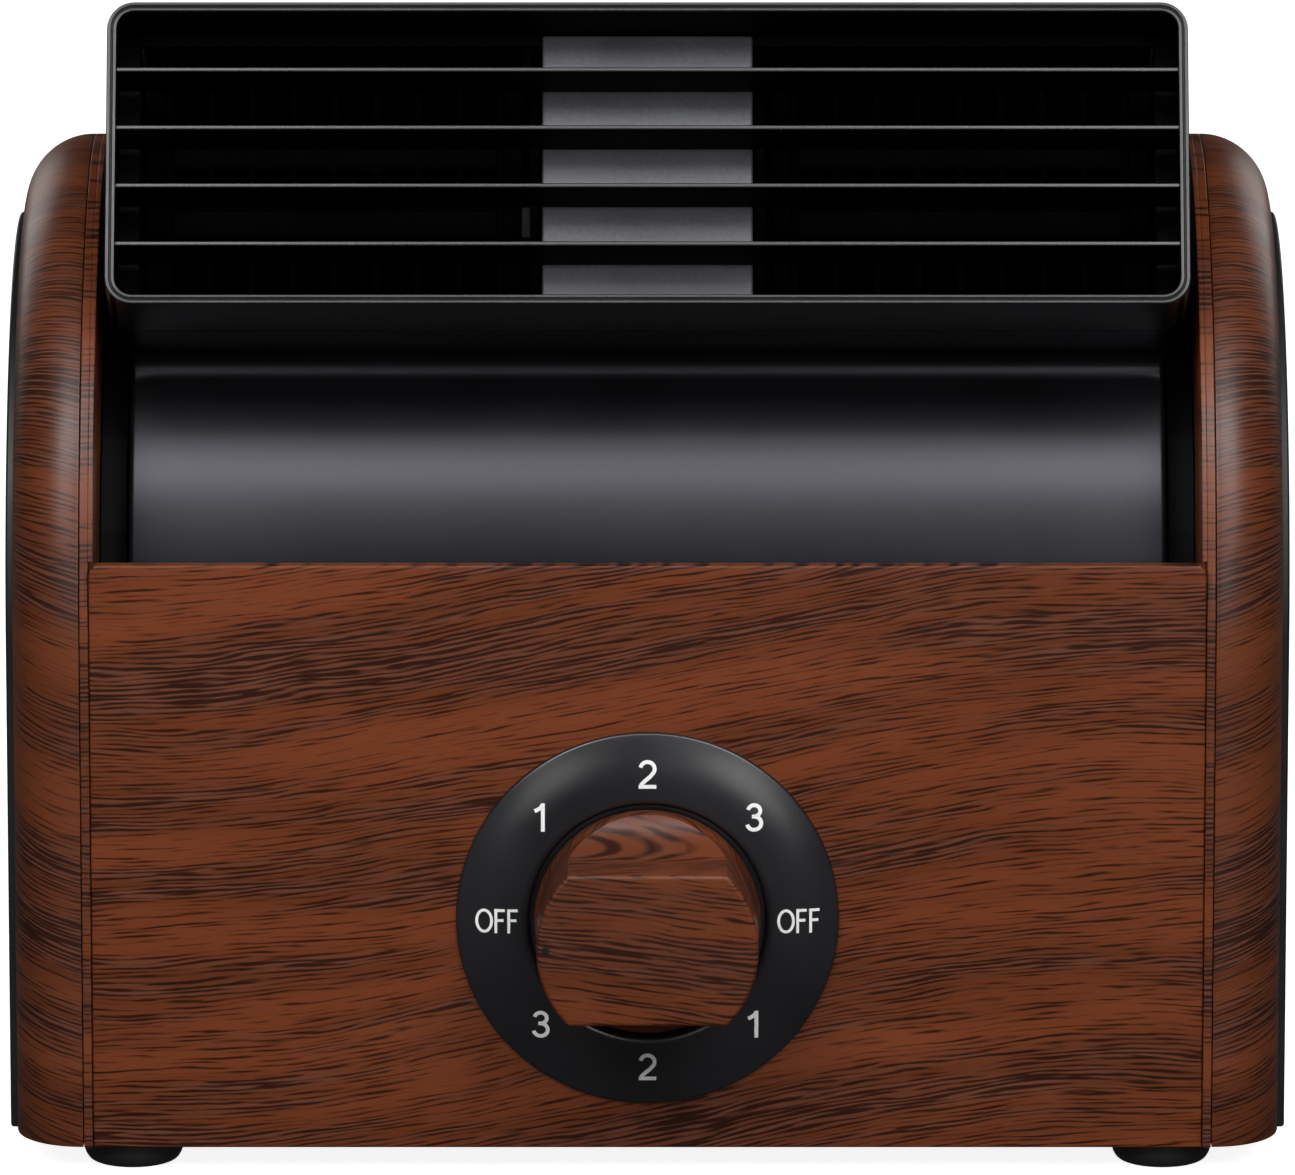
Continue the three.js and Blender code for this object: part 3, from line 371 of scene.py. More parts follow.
class Tree:
    """The nodes of one material, round one Principled shader."""

    def __init__(self, name):
        self.material = bpy.data.materials.new(name)
        self.material.use_nodes = True
        self.tree = self.material.node_tree
        self.tree.nodes.clear()
        output = self.tree.nodes.new("ShaderNodeOutputMaterial")
        self.shader = self.tree.nodes.new("ShaderNodeBsdfPrincipled")
        self.tree.links.new(self.shader.outputs[0], output.inputs[0])

    def put(self, socket, value):
        """Links an output to a socket, or sets the socket's own value."""
        if isinstance(value, bpy.types.NodeSocket):
            self.tree.links.new(value, socket)
        else:
            socket.default_value = value

    def set(self, **values):
        for name, value in values.items():
            self.put(self.shader.inputs[name.replace("_", " ")], value)

    def add(self, kind, inputs=(), **settings):
        node = self.tree.nodes.new(kind)
        for name, value in settings.items():
            setattr(node, name, value)
        for k, value in inputs:
            self.put(node.inputs[k], value)
        return node

    def place(self):
        return self.add("ShaderNodeTexCoord").outputs["Object"]

    def stretch(self, vector, scale, turn=(0, 0, 0), move=(0, 0, 0)):
        node = self.add("ShaderNodeMapping", [
            ("Vector", vector), ("Scale", scale), ("Rotation", turn), ("Location", move),
        ])
        return node.outputs[0]

    def noise(self, vector, scale=1.0, detail=2.0, roughness=0.5):
        node = self.add("ShaderNodeTexNoise", [
            ("Vector", vector), ("Scale", scale), ("Detail", detail), ("Roughness", roughness),
        ])
        return node.outputs["Fac"]

    def maths(self, operation, a, b=0.0):
        return self.add("ShaderNodeMath", [(0, a), (1, b)], operation=operation).outputs[0]

    def span(self, value, low, high, to_low=0.0, to_high=1.0, kind="SMOOTHSTEP"):
        node = self.add("ShaderNodeMapRange", [
            ("Value", value), ("From Min", low), ("From Max", high),
            ("To Min", to_low), ("To Max", to_high),
        ], interpolation_type=kind)
        return node.outputs[0]

    def mix(self, factor, a, b):
        node = self.add("ShaderNodeMix", data_type="RGBA")
        self.put(node.inputs["Factor"], factor)
        self.put(node.inputs[6], a)
        self.put(node.inputs[7], b)
        return node.outputs[2]

    def bump(self, height, strength, distance):
        node = self.add("ShaderNodeBump", [
            ("Height", height), ("Strength", strength), ("Distance", distance),
        ])
        return node.outputs[0]


def rgb(red, green, blue):
    return (red, green, blue, 1)


WOOD_WARM = rgb(0.168, 0.0420, 0.0140)
WOOD_DEEP = rgb(0.108, 0.0260, 0.0085)
WOOD_HAZE = rgb(0.140, 0.0470, 0.0260)
WOOD_LINE = rgb(0.024, 0.0050, 0.0015)
LINES_PER_METRE = 1150
SWAY_SCALE = (14, 30, 1)
SWAY_REACH = 7 * MM
ZONE_SCALE = (8, 75, 1)
BAND_SCALE = (22, 420, 1)
CHAIN_SCALE = (92, 1150, 1)
WOBBLE_SCALE = (60, 330, 1)
WOBBLE_TURNS = 2.2


def wood(name, grain_of, seed=0.0, shine=0.40, painted_light_tone=1.0):
    """Printed wood-grain film: chains of thin dark dashes, crowded in bands over a red brown."""
    t = Tree(name)
    grounds = (WOOD_WARM, WOOD_DEEP, WOOD_HAZE)
    # The scale makes lit and shaded copies of one film: above 1 is painted light, below 1 is painted shade
    warm, deep, haze = [tuple(c * painted_light_tone for c in colour[:3]) + (1,) for colour in grounds]
    grain = grain_of(t)
    sway = t.noise(t.stretch(grain, SWAY_SCALE, move=(seed, 0, 0)), detail=1.0)
    parts = t.add("ShaderNodeSeparateXYZ", [(0, grain)]).outputs
    shift = t.maths("MULTIPLY", t.maths("SUBTRACT", sway, 0.5), SWAY_REACH)
    across = t.maths("ADD", parts[1], shift)
    line = t.add("ShaderNodeCombineXYZ", [(0, parts[0]), (1, across), (2, seed)]).outputs[0]
    zones = t.noise(t.stretch(line, ZONE_SCALE, move=(0, seed, 0)), detail=2.0)
    bands = t.noise(t.stretch(line, BAND_SCALE, move=(seed, 3, 0)), detail=2.0, roughness=0.6)
    chain = t.noise(t.stretch(line, CHAIN_SCALE, move=(5, seed, 0)), detail=2.0, roughness=0.6)
    wobble = t.noise(t.stretch(line, WOBBLE_SCALE, move=(2, seed, 0)), detail=1.0)
    turns = t.maths("ADD", t.maths("MULTIPLY", across, LINES_PER_METRE),
                    t.maths("MULTIPLY", wobble, WOBBLE_TURNS))
    ripple = t.maths("COSINE", t.maths("MULTIPLY", turns, 2 * pi))
    crowd = t.maths("ADD", t.maths("MULTIPLY", zones, 0.72), t.maths("MULTIPLY", bands, 0.50))
    weight = t.maths("ADD", t.maths("MULTIPLY", ripple, 0.14), t.maths("ADD", chain, crowd))
    ink = t.maths("MULTIPLY", t.span(weight, 1.10, 1.29, kind="LINEAR"), 0.95)
    ground = t.mix(t.span(zones, 0.36, 0.62), warm, deep)
    ground = t.mix(t.span(crowd, 0.56, 0.76), ground, haze)
    colour = t.mix(ink, ground, WOOD_LINE)
    blotch = t.noise(t.stretch(grain, (60, 60, 60)), detail=2.0)
    roughness = t.span(blotch, 0.3, 0.7, 0.36, 0.44, "LINEAR")
    skin = t.noise(t.stretch(grain, (900, 900, 900)), detail=2.0)
    height = t.maths("SUBTRACT", t.maths("MULTIPLY", skin, 0.35), t.maths("MULTIPLY", ink, 0.6))
    t.set(Base_Color=colour, Roughness=roughness, Normal=t.bump(height, 0.25, 0.00005))
    t.set(Specular_IOR_Level=shine, Coat_Weight=0.05, Coat_Roughness=0.25)
    return t.material


def grain_attribute(t):
    """Distances along and across the grain that the mesh carries at its points."""
    node = t.add("ShaderNodeAttribute", attribute_name="grain", attribute_type="GEOMETRY")
    return node.outputs["Vector"]


PANEL_RISE = 27 * MM


def panel_grain(t):
    """Grain of the front panel: level at its left edge, rising across it and level again."""
    parts = t.add("ShaderNodeSeparateXYZ", [(0, t.place())]).outputs
    rise = t.span(parts[0], panel_low.x, panel_high.x, 0.0, PANEL_RISE)
    across = t.maths("SUBTRACT", parts[2], rise)
    return t.add("ShaderNodeCombineXYZ", [(0, parts[0]), (1, across), (2, parts[1])]).outputs[0]


def knob_grain(t):
    """Grain of the knob: nearly level, falling a little to the right."""
    parts = t.add("ShaderNodeSeparateXYZ", [(0, t.place())]).outputs
    depth = t.maths("MULTIPLY", parts[1], 0.55)
    across = t.maths("ADD", parts[2], t.maths("MULTIPLY", parts[0], 0.14))
    across = t.maths("SUBTRACT", across, depth)
    along = t.maths("MULTIPLY", parts[0], 1.15)
    return t.add("ShaderNodeCombineXYZ", [(0, along), (1, across), (2, 0.0)]).outputs[0]


def wall_grain(t):
    """Grain of the inner walls and the rear panel: level, from front to back and side to side."""
    parts = t.add("ShaderNodeSeparateXYZ", [(0, t.place())]).outputs
    along = t.maths("ADD", parts[0], parts[1])
    return t.add("ShaderNodeCombineXYZ", [(0, along), (1, parts[2]), (2, 0.0)]).outputs[0]


def moulded(name, colour, roughness, speckle=0.35, texture=1400, depth=0.00003, shine=0.5,
            tint=None, uneven=0.12):
    """Moulded plastic, rubber, paint or metal: uneven gloss, faint mottling, a fine surface."""
    t = Tree(name)
    place = t.place()
    cloud = t.noise(t.stretch(place, (38, 38, 38)), detail=3.0)
    fine = t.noise(t.stretch(place, (texture, texture, texture)), detail=2.0)
    dull = tuple(c * (1 - speckle) for c in colour[:3]) + (1,)
    mottling = t.maths("ADD", t.maths("MULTIPLY", cloud, 0.7), t.maths("MULTIPLY", fine, 0.3))
    shade_by = t.span(mottling, 0.35, 0.65)
    t.set(Base_Color=t.mix(shade_by, dull, colour), Specular_IOR_Level=shine)
    t.set(Specular_Tint=tint or rgb(1, 1, 1))
    low = roughness * (1 - uneven)
    high = roughness * (1 + uneven)
    t.set(Roughness=t.span(cloud, 0.3, 0.7, low, high, "LINEAR"))
    t.set(Normal=t.bump(fine, 0.35, depth))
    return t.material


def brushed(name, colour, roughness, axis=0):
    """Drawn or turned metal, with fine lines along one axis."""
    t = Tree(name)
    scale = [2200, 2200, 2200]
    scale[axis] = 40
    lines = t.noise(t.stretch(t.place(), tuple(scale)), detail=2.0)
    dull = tuple(c * 0.75 for c in colour[:3]) + (1,)
    t.set(Base_Color=t.mix(lines, dull, colour), Metallic=1.0)
    t.set(Roughness=t.span(lines, 0.3, 0.7, roughness * 0.8, roughness * 1.25, "LINEAR"))
    t.set(Normal=t.bump(lines, 0.3, 0.00002))
    return t.material


COOL = rgb(0.88, 0.88, 1.0)
black_satin = moulded("black_satin", rgb(0.0065, 0.0065, 0.0080), 0.32, tint=COOL,
                      uneven=0.03)
black_grille = moulded("black_grille", rgb(0.0150, 0.0150, 0.0160), 0.34, shine=0.6)
black_cover = moulded("black_cover", rgb(0.0120, 0.0120, 0.0130), 0.50,
                      texture=1100, depth=0.00005)
black_dial = moulded("black_dial", rgb(0.0175, 0.0170, 0.0205), 0.25, shine=0.7)
black_rubber = moulded("black_rubber", rgb(0.0310, 0.0295, 0.0335), 0.50,
                       texture=900, depth=0.00008)
# Almost black and dull: the plastic parts deep inside the case are darkened as painted shade
dark_plastic = moulded("dark_plastic", rgb(0.0035, 0.0035, 0.0037), 0.65,
                       texture=900, depth=0.00006, shine=0.1)
grey_plate = moulded("grey_plate", rgb(0.1000, 0.1015, 0.1180), 0.42)
white_plastic = moulded("white_plastic", rgb(0.72, 0.71, 0.67), 0.5, speckle=0.08)
white_ink = moulded("white_ink", rgb(0.96, 0.96, 0.95), 0.5, speckle=0.03)
# Near-black, dull finish for what lies inside the outlet: painted shade of the recess, not a different plastic
outlet_painted_shade = moulded("outlet_painted_shade", rgb(0.0020, 0.0020, 0.0021), 0.60,
                       texture=1100, depth=0.00005, shine=0.05)
# Near-black, dull finish put on the heater parts and the black-metal slot as painted shade of the dark duct
heater_painted_shade = moulded("heater_painted_shade", rgb(0.0010, 0.0010, 0.0011), 0.75,
                       texture=1800, shine=0.0)
# Near-black and dull despite the name: the ceramic parts inside the duct are darkened as painted shade
ceramic = moulded("ceramic", rgb(0.0016, 0.0015, 0.0014), 0.75,
                  speckle=0.2, texture=700, shine=0.0)
steel = brushed("steel", rgb(0.55, 0.56, 0.58), 0.32)
aluminium = brushed("aluminium", rgb(0.70, 0.71, 0.72), 0.36, axis=2)
brass = brushed("brass", rgb(0.70, 0.52, 0.22), 0.3, axis=1)
pointer_mark = moulded("pointer_mark", rgb(0.020, 0.011, 0.008), 0.35)
# One wood film in lit and shaded copies: the panel is brightened as painted light, the cheeks and knob are
# darkened as painted shade
wood_cheek = wood("wood_cheek", grain_attribute, 2.0, shine=0.44, painted_light_tone=0.95)
wood_panel = wood("wood_panel", panel_grain, 0.0, shine=0.26, painted_light_tone=1.13)
wood_knob = wood("wood_knob", knob_grain, 7.0, shine=0.32, painted_light_tone=0.95)
wood_wall = wood("wood_wall", wall_grain, 4.0)

# ---------------------------------------------------------------- camera, light and floor

CAMERA_ELEVATION = radians(13)
CAMERA_DISTANCE = 2.4
SENSOR = 36
FRAME_WIDTH = 233.1 * MM
AIM_HEIGHT = 104.5 * MM


def aim(holder, target):
    direction = Vector(target) - holder.location
    holder.rotation_euler = direction.to_track_quat("-Z", "Y").to_euler()


def add_camera():
    lens = bpy.data.cameras.new("camera")
    lens.sensor_width = SENSOR
    lens.lens = SENSOR * CAMERA_DISTANCE / FRAME_WIDTH
    lens.clip_end = 20
    camera = bpy.data.objects.new("camera", lens)
    bpy.context.scene.collection.objects.link(camera)
    target = Vector((0, FRONT_Y, BODY_BOTTOM + AIM_HEIGHT))
    away = Vector((0, -cos(CAMERA_ELEVATION), sin(CAMERA_ELEVATION)))
    camera.location = target + away * CAMERA_DISTANCE
    aim(camera, target)
    bpy.context.scene.camera = camera


LIGHT_TARGET = (0, 0, 0.12)
SOFTBOXES = [
    # name, azimuth, elevation, distance, (width, height), watts
    ("top_front", 0, 48, 1.5, (2.2, 0.38), 14.3),
    ("left_front", -33, 39, 1.7, (0.60, 1.20), 8.6),
    ("right_front", 33, 39, 1.7, (0.60, 1.20), 9.4),
    ("fillet_strip", 0, 29.5, 1.6, (2.0, 0.05), 1.3),
    ("low_left", -17, 9, 1.7, (0.42, 0.46), 1.1),
    ("low_right", 17, 9, 1.7, (0.42, 0.46), 2.1),
    ("back_left", -145, 15, 1.9, (0.8, 0.9), 4),
    ("back_right", 145, 15, 1.9, (0.8, 0.9), 4),
]


def add_softbox(name, azimuth, elevation, distance, size, power):
    """A soft area light; azimuth 0 is in front of the heater and 90 is to its right."""
    light = bpy.data.lights.new(name, "AREA")
    light.shape = "RECTANGLE"
    light.size, light.size_y = size
    light.energy = power
    holder = bpy.data.objects.new(name, light)
    bpy.context.scene.collection.objects.link(holder)
    a = radians(azimuth)
    e = radians(elevation)
    away = Vector((sin(a) * cos(e), -cos(a) * cos(e), sin(e)))
    holder.location = Vector(LIGHT_TARGET) + away * distance
    aim(holder, LIGHT_TARGET)


FLOOR_GLOW = 0.045
SKY_GLOW = 0.02


def add_world():
    """White to the camera; the heater itself sees a dark room over a grey floor."""
    world = bpy.data.worlds.new("studio")
    bpy.context.scene.world = world
    world.use_nodes = True
    tree = world.node_tree
    tree.nodes.clear()
    output = tree.nodes.new("ShaderNodeOutputWorld")
    blend = tree.nodes.new("ShaderNodeMixShader")
    seen = tree.nodes.new("ShaderNodeLightPath")
    shown = tree.nodes.new("ShaderNodeBackground")
    lit = tree.nodes.new("ShaderNodeBackground")
    shown.inputs[0].default_value = rgb(1, 1, 1)
    shown.inputs[1].default_value = 1.0
    lit.inputs[1].default_value = 1.0
    heading = tree.nodes.new("ShaderNodeSeparateXYZ")
    tree.links.new(tree.nodes.new("ShaderNodeTexCoord").outputs["Generated"], heading.inputs[0])
    level = tree.nodes.new("ShaderNodeMapRange")
    tree.links.new(heading.outputs[2], level.inputs["Value"])
    level.inputs["From Min"].default_value = -0.06
    level.inputs["From Max"].default_value = 0.04
    level.inputs["To Min"].default_value = FLOOR_GLOW
    level.inputs["To Max"].default_value = SKY_GLOW
    tree.links.new(level.outputs[0], lit.inputs[0])
    tree.links.new(seen.outputs["Is Camera Ray"], blend.inputs[0])
    tree.links.new(lit.outputs[0], blend.inputs[1])
    tree.links.new(shown.outputs[0], blend.inputs[2])
    tree.links.new(blend.outputs[0], output.inputs[0])


def add_floor():
    t = Tree("pale_floor")
    cloud = t.noise(t.stretch(t.place(), (6, 6, 6)), detail=2.0)
    t.set(Base_Color=t.mix(cloud, rgb(0.90, 0.90, 0.90), rgb(0.93, 0.93, 0.93)))
    t.set(Roughness=0.7, Emission_Color=rgb(1, 1, 1), Emission_Strength=0.88)
    half = 4.0
    corners = [(x, y, 0) for x, y in rectangle(-half, half, -half, half)]
    mesh = mesh_from("floor", corners, [(0, 1, 2, 3)])
    mesh.materials.append(t.material)
    floor = new_object("floor", mesh)
    floor.visible_diffuse = False
    floor.visible_glossy = False


add_camera()
add_world()
add_floor()
for softbox in SOFTBOXES:
    add_softbox(*softbox)
bpy.context.scene.view_settings.view_transform = "Standard"

# ---------------------------------------------------------------- cabinet


def set_grain(mesh, values):
    """Stores a distance along and across the grain at each point of a mesh."""
    layer = mesh.attributes.new("grain", "FLOAT_VECTOR", "POINT")
    for target, value in zip(layer.data, values):
        target.vector = value


def arch_path(steps):
    """Stations round the arch: a point in y and z, the way inwards, and the distance travelled."""
    straight = ARCH_Z - BODY_BOTTOM
    turn = pi * ARCH_RADIUS
    stations = []
    for k in range(7):
        rise = straight * k / 6
        stations.append(((ARCH_Y - ARCH_RADIUS, BODY_BOTTOM + rise), (1, 0), rise))
    for k in range(1, steps):
        a = pi - pi * k / steps
        point = (ARCH_Y + ARCH_RADIUS * cos(a), ARCH_Z + ARCH_RADIUS * sin(a))
        stations.append((point, (-cos(a), -sin(a)), straight + turn * k / steps))
    for k in range(7):
        fall = straight * k / 6
        stations.append(((ARCH_Y + ARCH_RADIUS, ARCH_Z - fall), (-1, 0), straight + turn + fall))
    return stations


def cheek_section(shrink):
    """The band's section as [x, inwards] pairs, with every face drawn in by shrink."""
    inner = cheek_low.x - SEAM_CLOSE
    depth = ARCH_RADIUS - COVER_RADIUS - GAP
    seam = 0.15 * MM
    radius = BULLNOSE - shrink
    curve = arc((cheek_low.x, BULLNOSE), radius, -pi / 2, 0, 20)[1:]
    lip = [(cheek_high.x - shrink, depth - seam), (cheek_high.x - seam - shrink, depth - shrink)]
    start = [(inner, depth - shrink), (inner, seam + shrink)]
    turn_in = [(inner + seam * 0.3, seam * 0.3 + shrink), (inner + seam, shrink)]
    return start + turn_in + curve + lip


BOTTOM_EDGE = 0.5 * MM
CHEEK_SLANT = 0.28


def build_cheek():
    """Arch band with a bullnose outer edge; its grain runs across the band all the way round."""
    stations = arch_path(72)
    last = stations[-1][2]
    edges = [(0.0, BOTTOM_EDGE * 0.9), (BOTTOM_EDGE * 0.3, BOTTOM_EDGE * 0.25), (BOTTOM_EDGE, 0.0)]
    path = []
    for rise, shrink in edges:
        path.append(((ARCH_Y - ARCH_RADIUS, BODY_BOTTOM + rise), (1, 0), rise, shrink))
    path += [(point, inwards, travel, 0.0) for point, inwards, travel in stations[1:-1]]
    for rise, shrink in reversed(edges):
        path.append(((ARCH_Y + ARCH_RADIUS, BODY_BOTTOM + rise), (-1, 0), last - rise, shrink))
    sections = []
    grain = []
    for (y, z), (iy, iz), travel, shrink in path:
        section = cheek_section(shrink)
        sections.append([(x, y + iy * inward, z + iz * inward) for x, inward in section])
        walked = 0.0
        for k, (x, inward) in enumerate(section):
            if k:
                walked += (Vector(section[k]) - Vector(section[k - 1])).length
            grain.append((walked, travel - CHEEK_SLANT * walked, 0.0))
    faces = skin_faces(len(sections), len(sections[0]))
    mesh = bpy.data.meshes.new("right_cheek")
    mesh.from_pydata([v for section in sections for v in section], [], faces)
    set_grain(mesh, grain)
    bm = bmesh.new()
    bm.from_mesh(mesh)
    bmesh.ops.recalc_face_normals(bm, faces=bm.faces)
    bm.to_mesh(mesh)
    bm.free()
    return mesh


def build_inner_wall():
    """Flat wall with the round pivot hole and a rebate for the front panel; the screw ledge is built apart."""
    edge = 0.25 * MM
    rebate_x = panel_high.x + GAP
    hole = circle((HEAD_PIVOT.y, HEAD_PIVOT.z), PIVOT_HOLE, 72)
    outer = arch_outline(ARCH_RADIUS, BODY_BOTTOM)
    back = panel_high.y + GAP
    top = panel_high.z + GAP
    keep = [(y, z) for y, z in outer if not (y < back and z < top)]
    ahead = ARCH_Y - sqrt(ARCH_RADIUS ** 2 - (top - ARCH_Z) ** 2)
    notch = keep + [(ahead, top), (back, top), (back, BODY_BOTTOM)]
    lap = 0.1 * MM
    full = facing_side((rebate_x + wall_high.x) / 2, 0, 0)
    thin = facing_side((WALL_INNER + rebate_x + lap) / 2, 0, 0)
    outside = plate("wall_a", [outer, hole], wall_high.x - rebate_x, edge, full)
    inside = plate("wall_b", [notch, hole], rebate_x + lap - WALL_INNER, edge, thin)
    return together("right_inner_wall", [outside, inside])


def build_ledge():
    """Ledge along the foot of a wall, which the base screws go into."""
    screw_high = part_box("base_screw_2")[1]
    low = (wall_low.x, ARCH_Y - 55 * MM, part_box("base_plate")[1].z + GAP)
    high = (wall_high.x - 2 * MM, ARCH_Y + 55 * MM, screw_high.z + 1 * MM)
    return block("right_ledge", low, high, 0.4 * MM)


def intake_slots():
    """Rows of slots over a round field in front of the head's air inlet."""
    slots = []
    for row in range(SLOT_ROWS):
        z = (row - (SLOT_ROWS - 1) / 2) * SLOT_PITCH
        reach = sqrt(SLOT_FIELD_RADIUS ** 2 - z ** 2)
        low = ARCH_Z + z - SLOT_HEIGHT / 2
        slots.append(rounded_rectangle(
            ARCH_Y - reach, ARCH_Y + reach, low, low + SLOT_HEIGHT, SLOT_HEIGHT * 0.3, 3,
        ))
    return slots


def build_side_cover():
    """Slotted cover with a rounded rim, and the skirt that seats it in the cheek."""
    rim = arch_outline(COVER_RADIUS, BODY_BOTTOM)
    face_place = facing_side(cover_high.x - COVER_PLATE / 2, 0, 0)
    face = plate("cover_face", [rim] + intake_slots(), COVER_PLATE, 0.55 * MM, face_place)
    skirt_wall = 2 * MM
    skirt_share = 0.999
    hollow = arch_outline(COVER_RADIUS - skirt_wall, BODY_BOTTOM + skirt_wall)
    start = cover_low.x
    end = cover_high.x - COVER_PLATE + 0.3 * MM
    inset = [(ARCH_Y + (y - ARCH_Y) * skirt_share, z) for y, z in rim]
    skirt_place = facing_side((start + end) / 2, 0, 0)
    skirt = plate("cover_skirt", [inset, hollow], end - start, 0.3 * MM, skirt_place)
    return together("right_side_cover", [face, skirt])


def build_front_panel():
    low, high = panel_low, panel_high
    half = high.x + SEAM_CLOSE
    outline = [(-half, low.z), (half, low.z)]
    outline += arc((half - PANEL_CORNER, high.z - PANEL_CORNER), PANEL_CORNER, 0, pi / 2, 8)
    outline += arc((-half + PANEL_CORNER, high.z - PANEL_CORNER), PANEL_CORNER, pi / 2, pi, 8)
    hole = circle((0, KNOB_Z), SPINDLE_HOLE)
    middle = (low.y + high.y) / 2
    place = facing_front(0, middle, 0)
    return plate("front_panel", [outline, hole], high.y - low.y, PANEL_EDGE, place)


def build_foot(centre):
    """Moulded rubber foot with a rolled lower edge and a flat rim against the case."""
    foot_low, foot_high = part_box("foot_front_left")
    radius = (foot_high.x - foot_low.x) / 2
    top = BODY_BOTTOM - 0.1 * MM
    stud = 2.9 * MM
    stud_top = foot_high.z
    profile = rounded([
        (0, 0), (radius - 1.2 * MM, 0), (radius - 0.12 * MM, 1.6 * MM), (radius, top - 0.3 * MM),
        (radius - 0.2 * MM, top), (stud, top), (stud, stud_top), (0, stud_top),
    ], 1.1 * MM, 6, closed=False)
    return turned("foot", profile, upright(centre.x, centre.y, 0))


def build_cabinet():
    cheek = build_cheek()
    wall = together("right_inner_wall", [build_inner_wall(), build_ledge()])
    cover = build_side_cover()
    pairs = [
        ("cheek", cheek, wood_cheek, "wood_grain"),
        ("inner_wall", wall, wood_wall, "wood_grain"),
        ("side_cover", cover, black_cover, "black_satin"),
    ]
    for what, right, material, slot in pairs:
        left = mirrored(right)
        finish_piece(f"right_{what}_skin", right, material, "base", [f"right_{what}"])
        finish_piece(f"left_{what}_skin", left, material, "base", [f"left_{what}"])
    finish_piece("front_panel_skin", build_front_panel(), wood_panel, "base",
                 ["front_panel"])
    for node in ("foot_front_left", "foot_front_right", "foot_rear_left", "foot_rear_right"):
        low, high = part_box(node)
        foot = build_foot((low + high) / 2)
        finish_piece(f"{node}_skin", foot, black_rubber, "base", [node])


# ---------------------------------------------------------------- dial and knob

DIAL_RADIUS = (dial_high.x - dial_low.x) / 2
DIAL_BORE = 21.4 * MM
DIAL_CREST = FRONT_Y - dial_low.y
DIAL_RISE = 0.3 * MM
DIAL_TOP = 0.84
DIAL_BEVEL = 0.02
DIAL_SHOULDER = 0.22
DOME_END = 0.90


def dial_crown(steps=25):
    """The domed face as shares of the way in from the rim and of the full height."""
    crown = [(0.0, 0.0)]
    for k in range(steps + 1):
        part = DIAL_BEVEL + (DOME_END - DIAL_BEVEL) * k / steps
        fall = (DIAL_TOP - part) / (DIAL_TOP - DIAL_BEVEL)
        crown.append((part, 1 - (1 - DIAL_SHOULDER) * fall ** 2))
    return crown + [(0.95, 0.93), (0.98, 0.74), (1.0, 0.45)]


DIAL_CROWN = dial_crown()


def dial_height(radius):
    """How far the domed face of the dial stands out of the panel at a radius."""
    part = (DIAL_RADIUS - radius) / (DIAL_RADIUS - DIAL_BORE)
    for (a, low), (b, high) in zip(DIAL_CROWN, DIAL_CROWN[1:]):
        if a <= part <= b:
            share = low + (high - low) * (part - a) / (b - a)
            return DIAL_RISE + (DIAL_CREST - DIAL_RISE) * share
    return DIAL_RISE


def build_dial():
    """Domed ring round a well for the knob."""
    floor = 0.9 * MM
    foot = 0.1 * MM
    crown = []
    for part, share in DIAL_CROWN:
        radius = DIAL_RADIUS - (DIAL_RADIUS - DIAL_BORE) * part
        crown.append((radius, DIAL_RISE + (DIAL_CREST - DIAL_RISE) * share))
    outline = [(SPINDLE_HOLE, foot), (DIAL_RADIUS - 0.2 * MM, foot)] + crown
    profile = rounded(outline + [(DIAL_BORE, floor), (SPINDLE_HOLE, floor)], 0.9 * MM, 4)
    return turned("dial_plate", profile, facing_front(0, FRONT_Y, KNOB_Z), 128, closed=True)


def bowl(x, z, rx, rz, start, end, steps=14):
    """Points along part of an ellipse, with its angles in degrees."""
    points = arc((0, 0), 1, radians(start), radians(end), steps)
    return [(x + a * rx, z + b * rz) for a, b in points]


LETTER_F = [[(0.0, 0.0), (0.0, 1.0)], [(-0.06, 0.94), (0.36, 0.94)], [(0.0, 0.53), (0.31, 0.53)]]
BOTH_FS = [[(x + shift, z) for x, z in stroke] for shift in (-0.03, 0.49) for stroke in LETTER_F]
FIGURES = {
    "1": [[(0.08, 0.0), (0.08, 1.0)], [(0.08, 0.95), (0.0, 0.84), (-0.12, 0.76), (-0.21, 0.72)]],
    "2": [bowl(0, 0.69, 0.25, 0.245, 168, -28)
          + [(0.10, 0.43), (-0.08, 0.28), (-0.21, 0.15), (-0.25, 0.03)],
          [(-0.31, 0.065), (0.31, 0.065)]],
    "3": [bowl(-0.01, 0.735, 0.215, 0.20, 168, -88), [(-0.09, 0.535), (0.03, 0.535)],
          bowl(-0.01, 0.30, 0.25, 0.235, 88, -168)],
    "OFF": [bowl(-0.50, 0.5, 0.30, 0.44, 0, 360, 32)] + BOTH_FS,
}


def subdivided(points, step):
    """The same line with a point at least every step."""
    result = [points[0]]
    for a, b in zip(points, points[1:]):
        pieces = ceil((b - a).length / step)
        result += [a.lerp(b, k / pieces) for k in range(1, pieces + 1)]
    return result


def figure(text, x, z, height, weight):
    """One printed mark, made of strokes that lie on the dial's face."""
    meshes = []
    for stroke in FIGURES[text]:
        points = [Vector((x + a * height, z + (b - 0.5) * height)) for a, b in stroke]
        points = subdivided(points, STROKE_STEP)
        sections = []
        for k, point in enumerate(points):
            run = points[min(k + 1, len(points) - 1)] - points[max(k - 1, 0)]
            side = Vector((-run.y, run.x)).normalized() * weight / 2
            section = []
            for end, proud in ((side, INK), (-side, INK), (-side, -2 * INK), (side, -2 * INK)):
                spot = point + end
                y = FRONT_Y - dial_height(spot.length) - proud
                section.append((spot.x, y, KNOB_Z + spot.y))
            sections.append(section)
        meshes.append(sweep("stroke", sections))
    return meshes


def build_figures():
    """OFF, 1, 2, 3 twice round the dial, all upright."""
    meshes = []
    for k, text in enumerate(["OFF", "3", "2", "1"] * 2):
        angle = k * pi / 4
        height, weight = WORD_SIZE if text == "OFF" else DIGIT_SIZE
        x = DIGIT_RING * cos(angle)
        z = DIGIT_RING * sin(angle)
        meshes += figure(text, x, z, height, weight)
    return together("dial_figures", meshes)


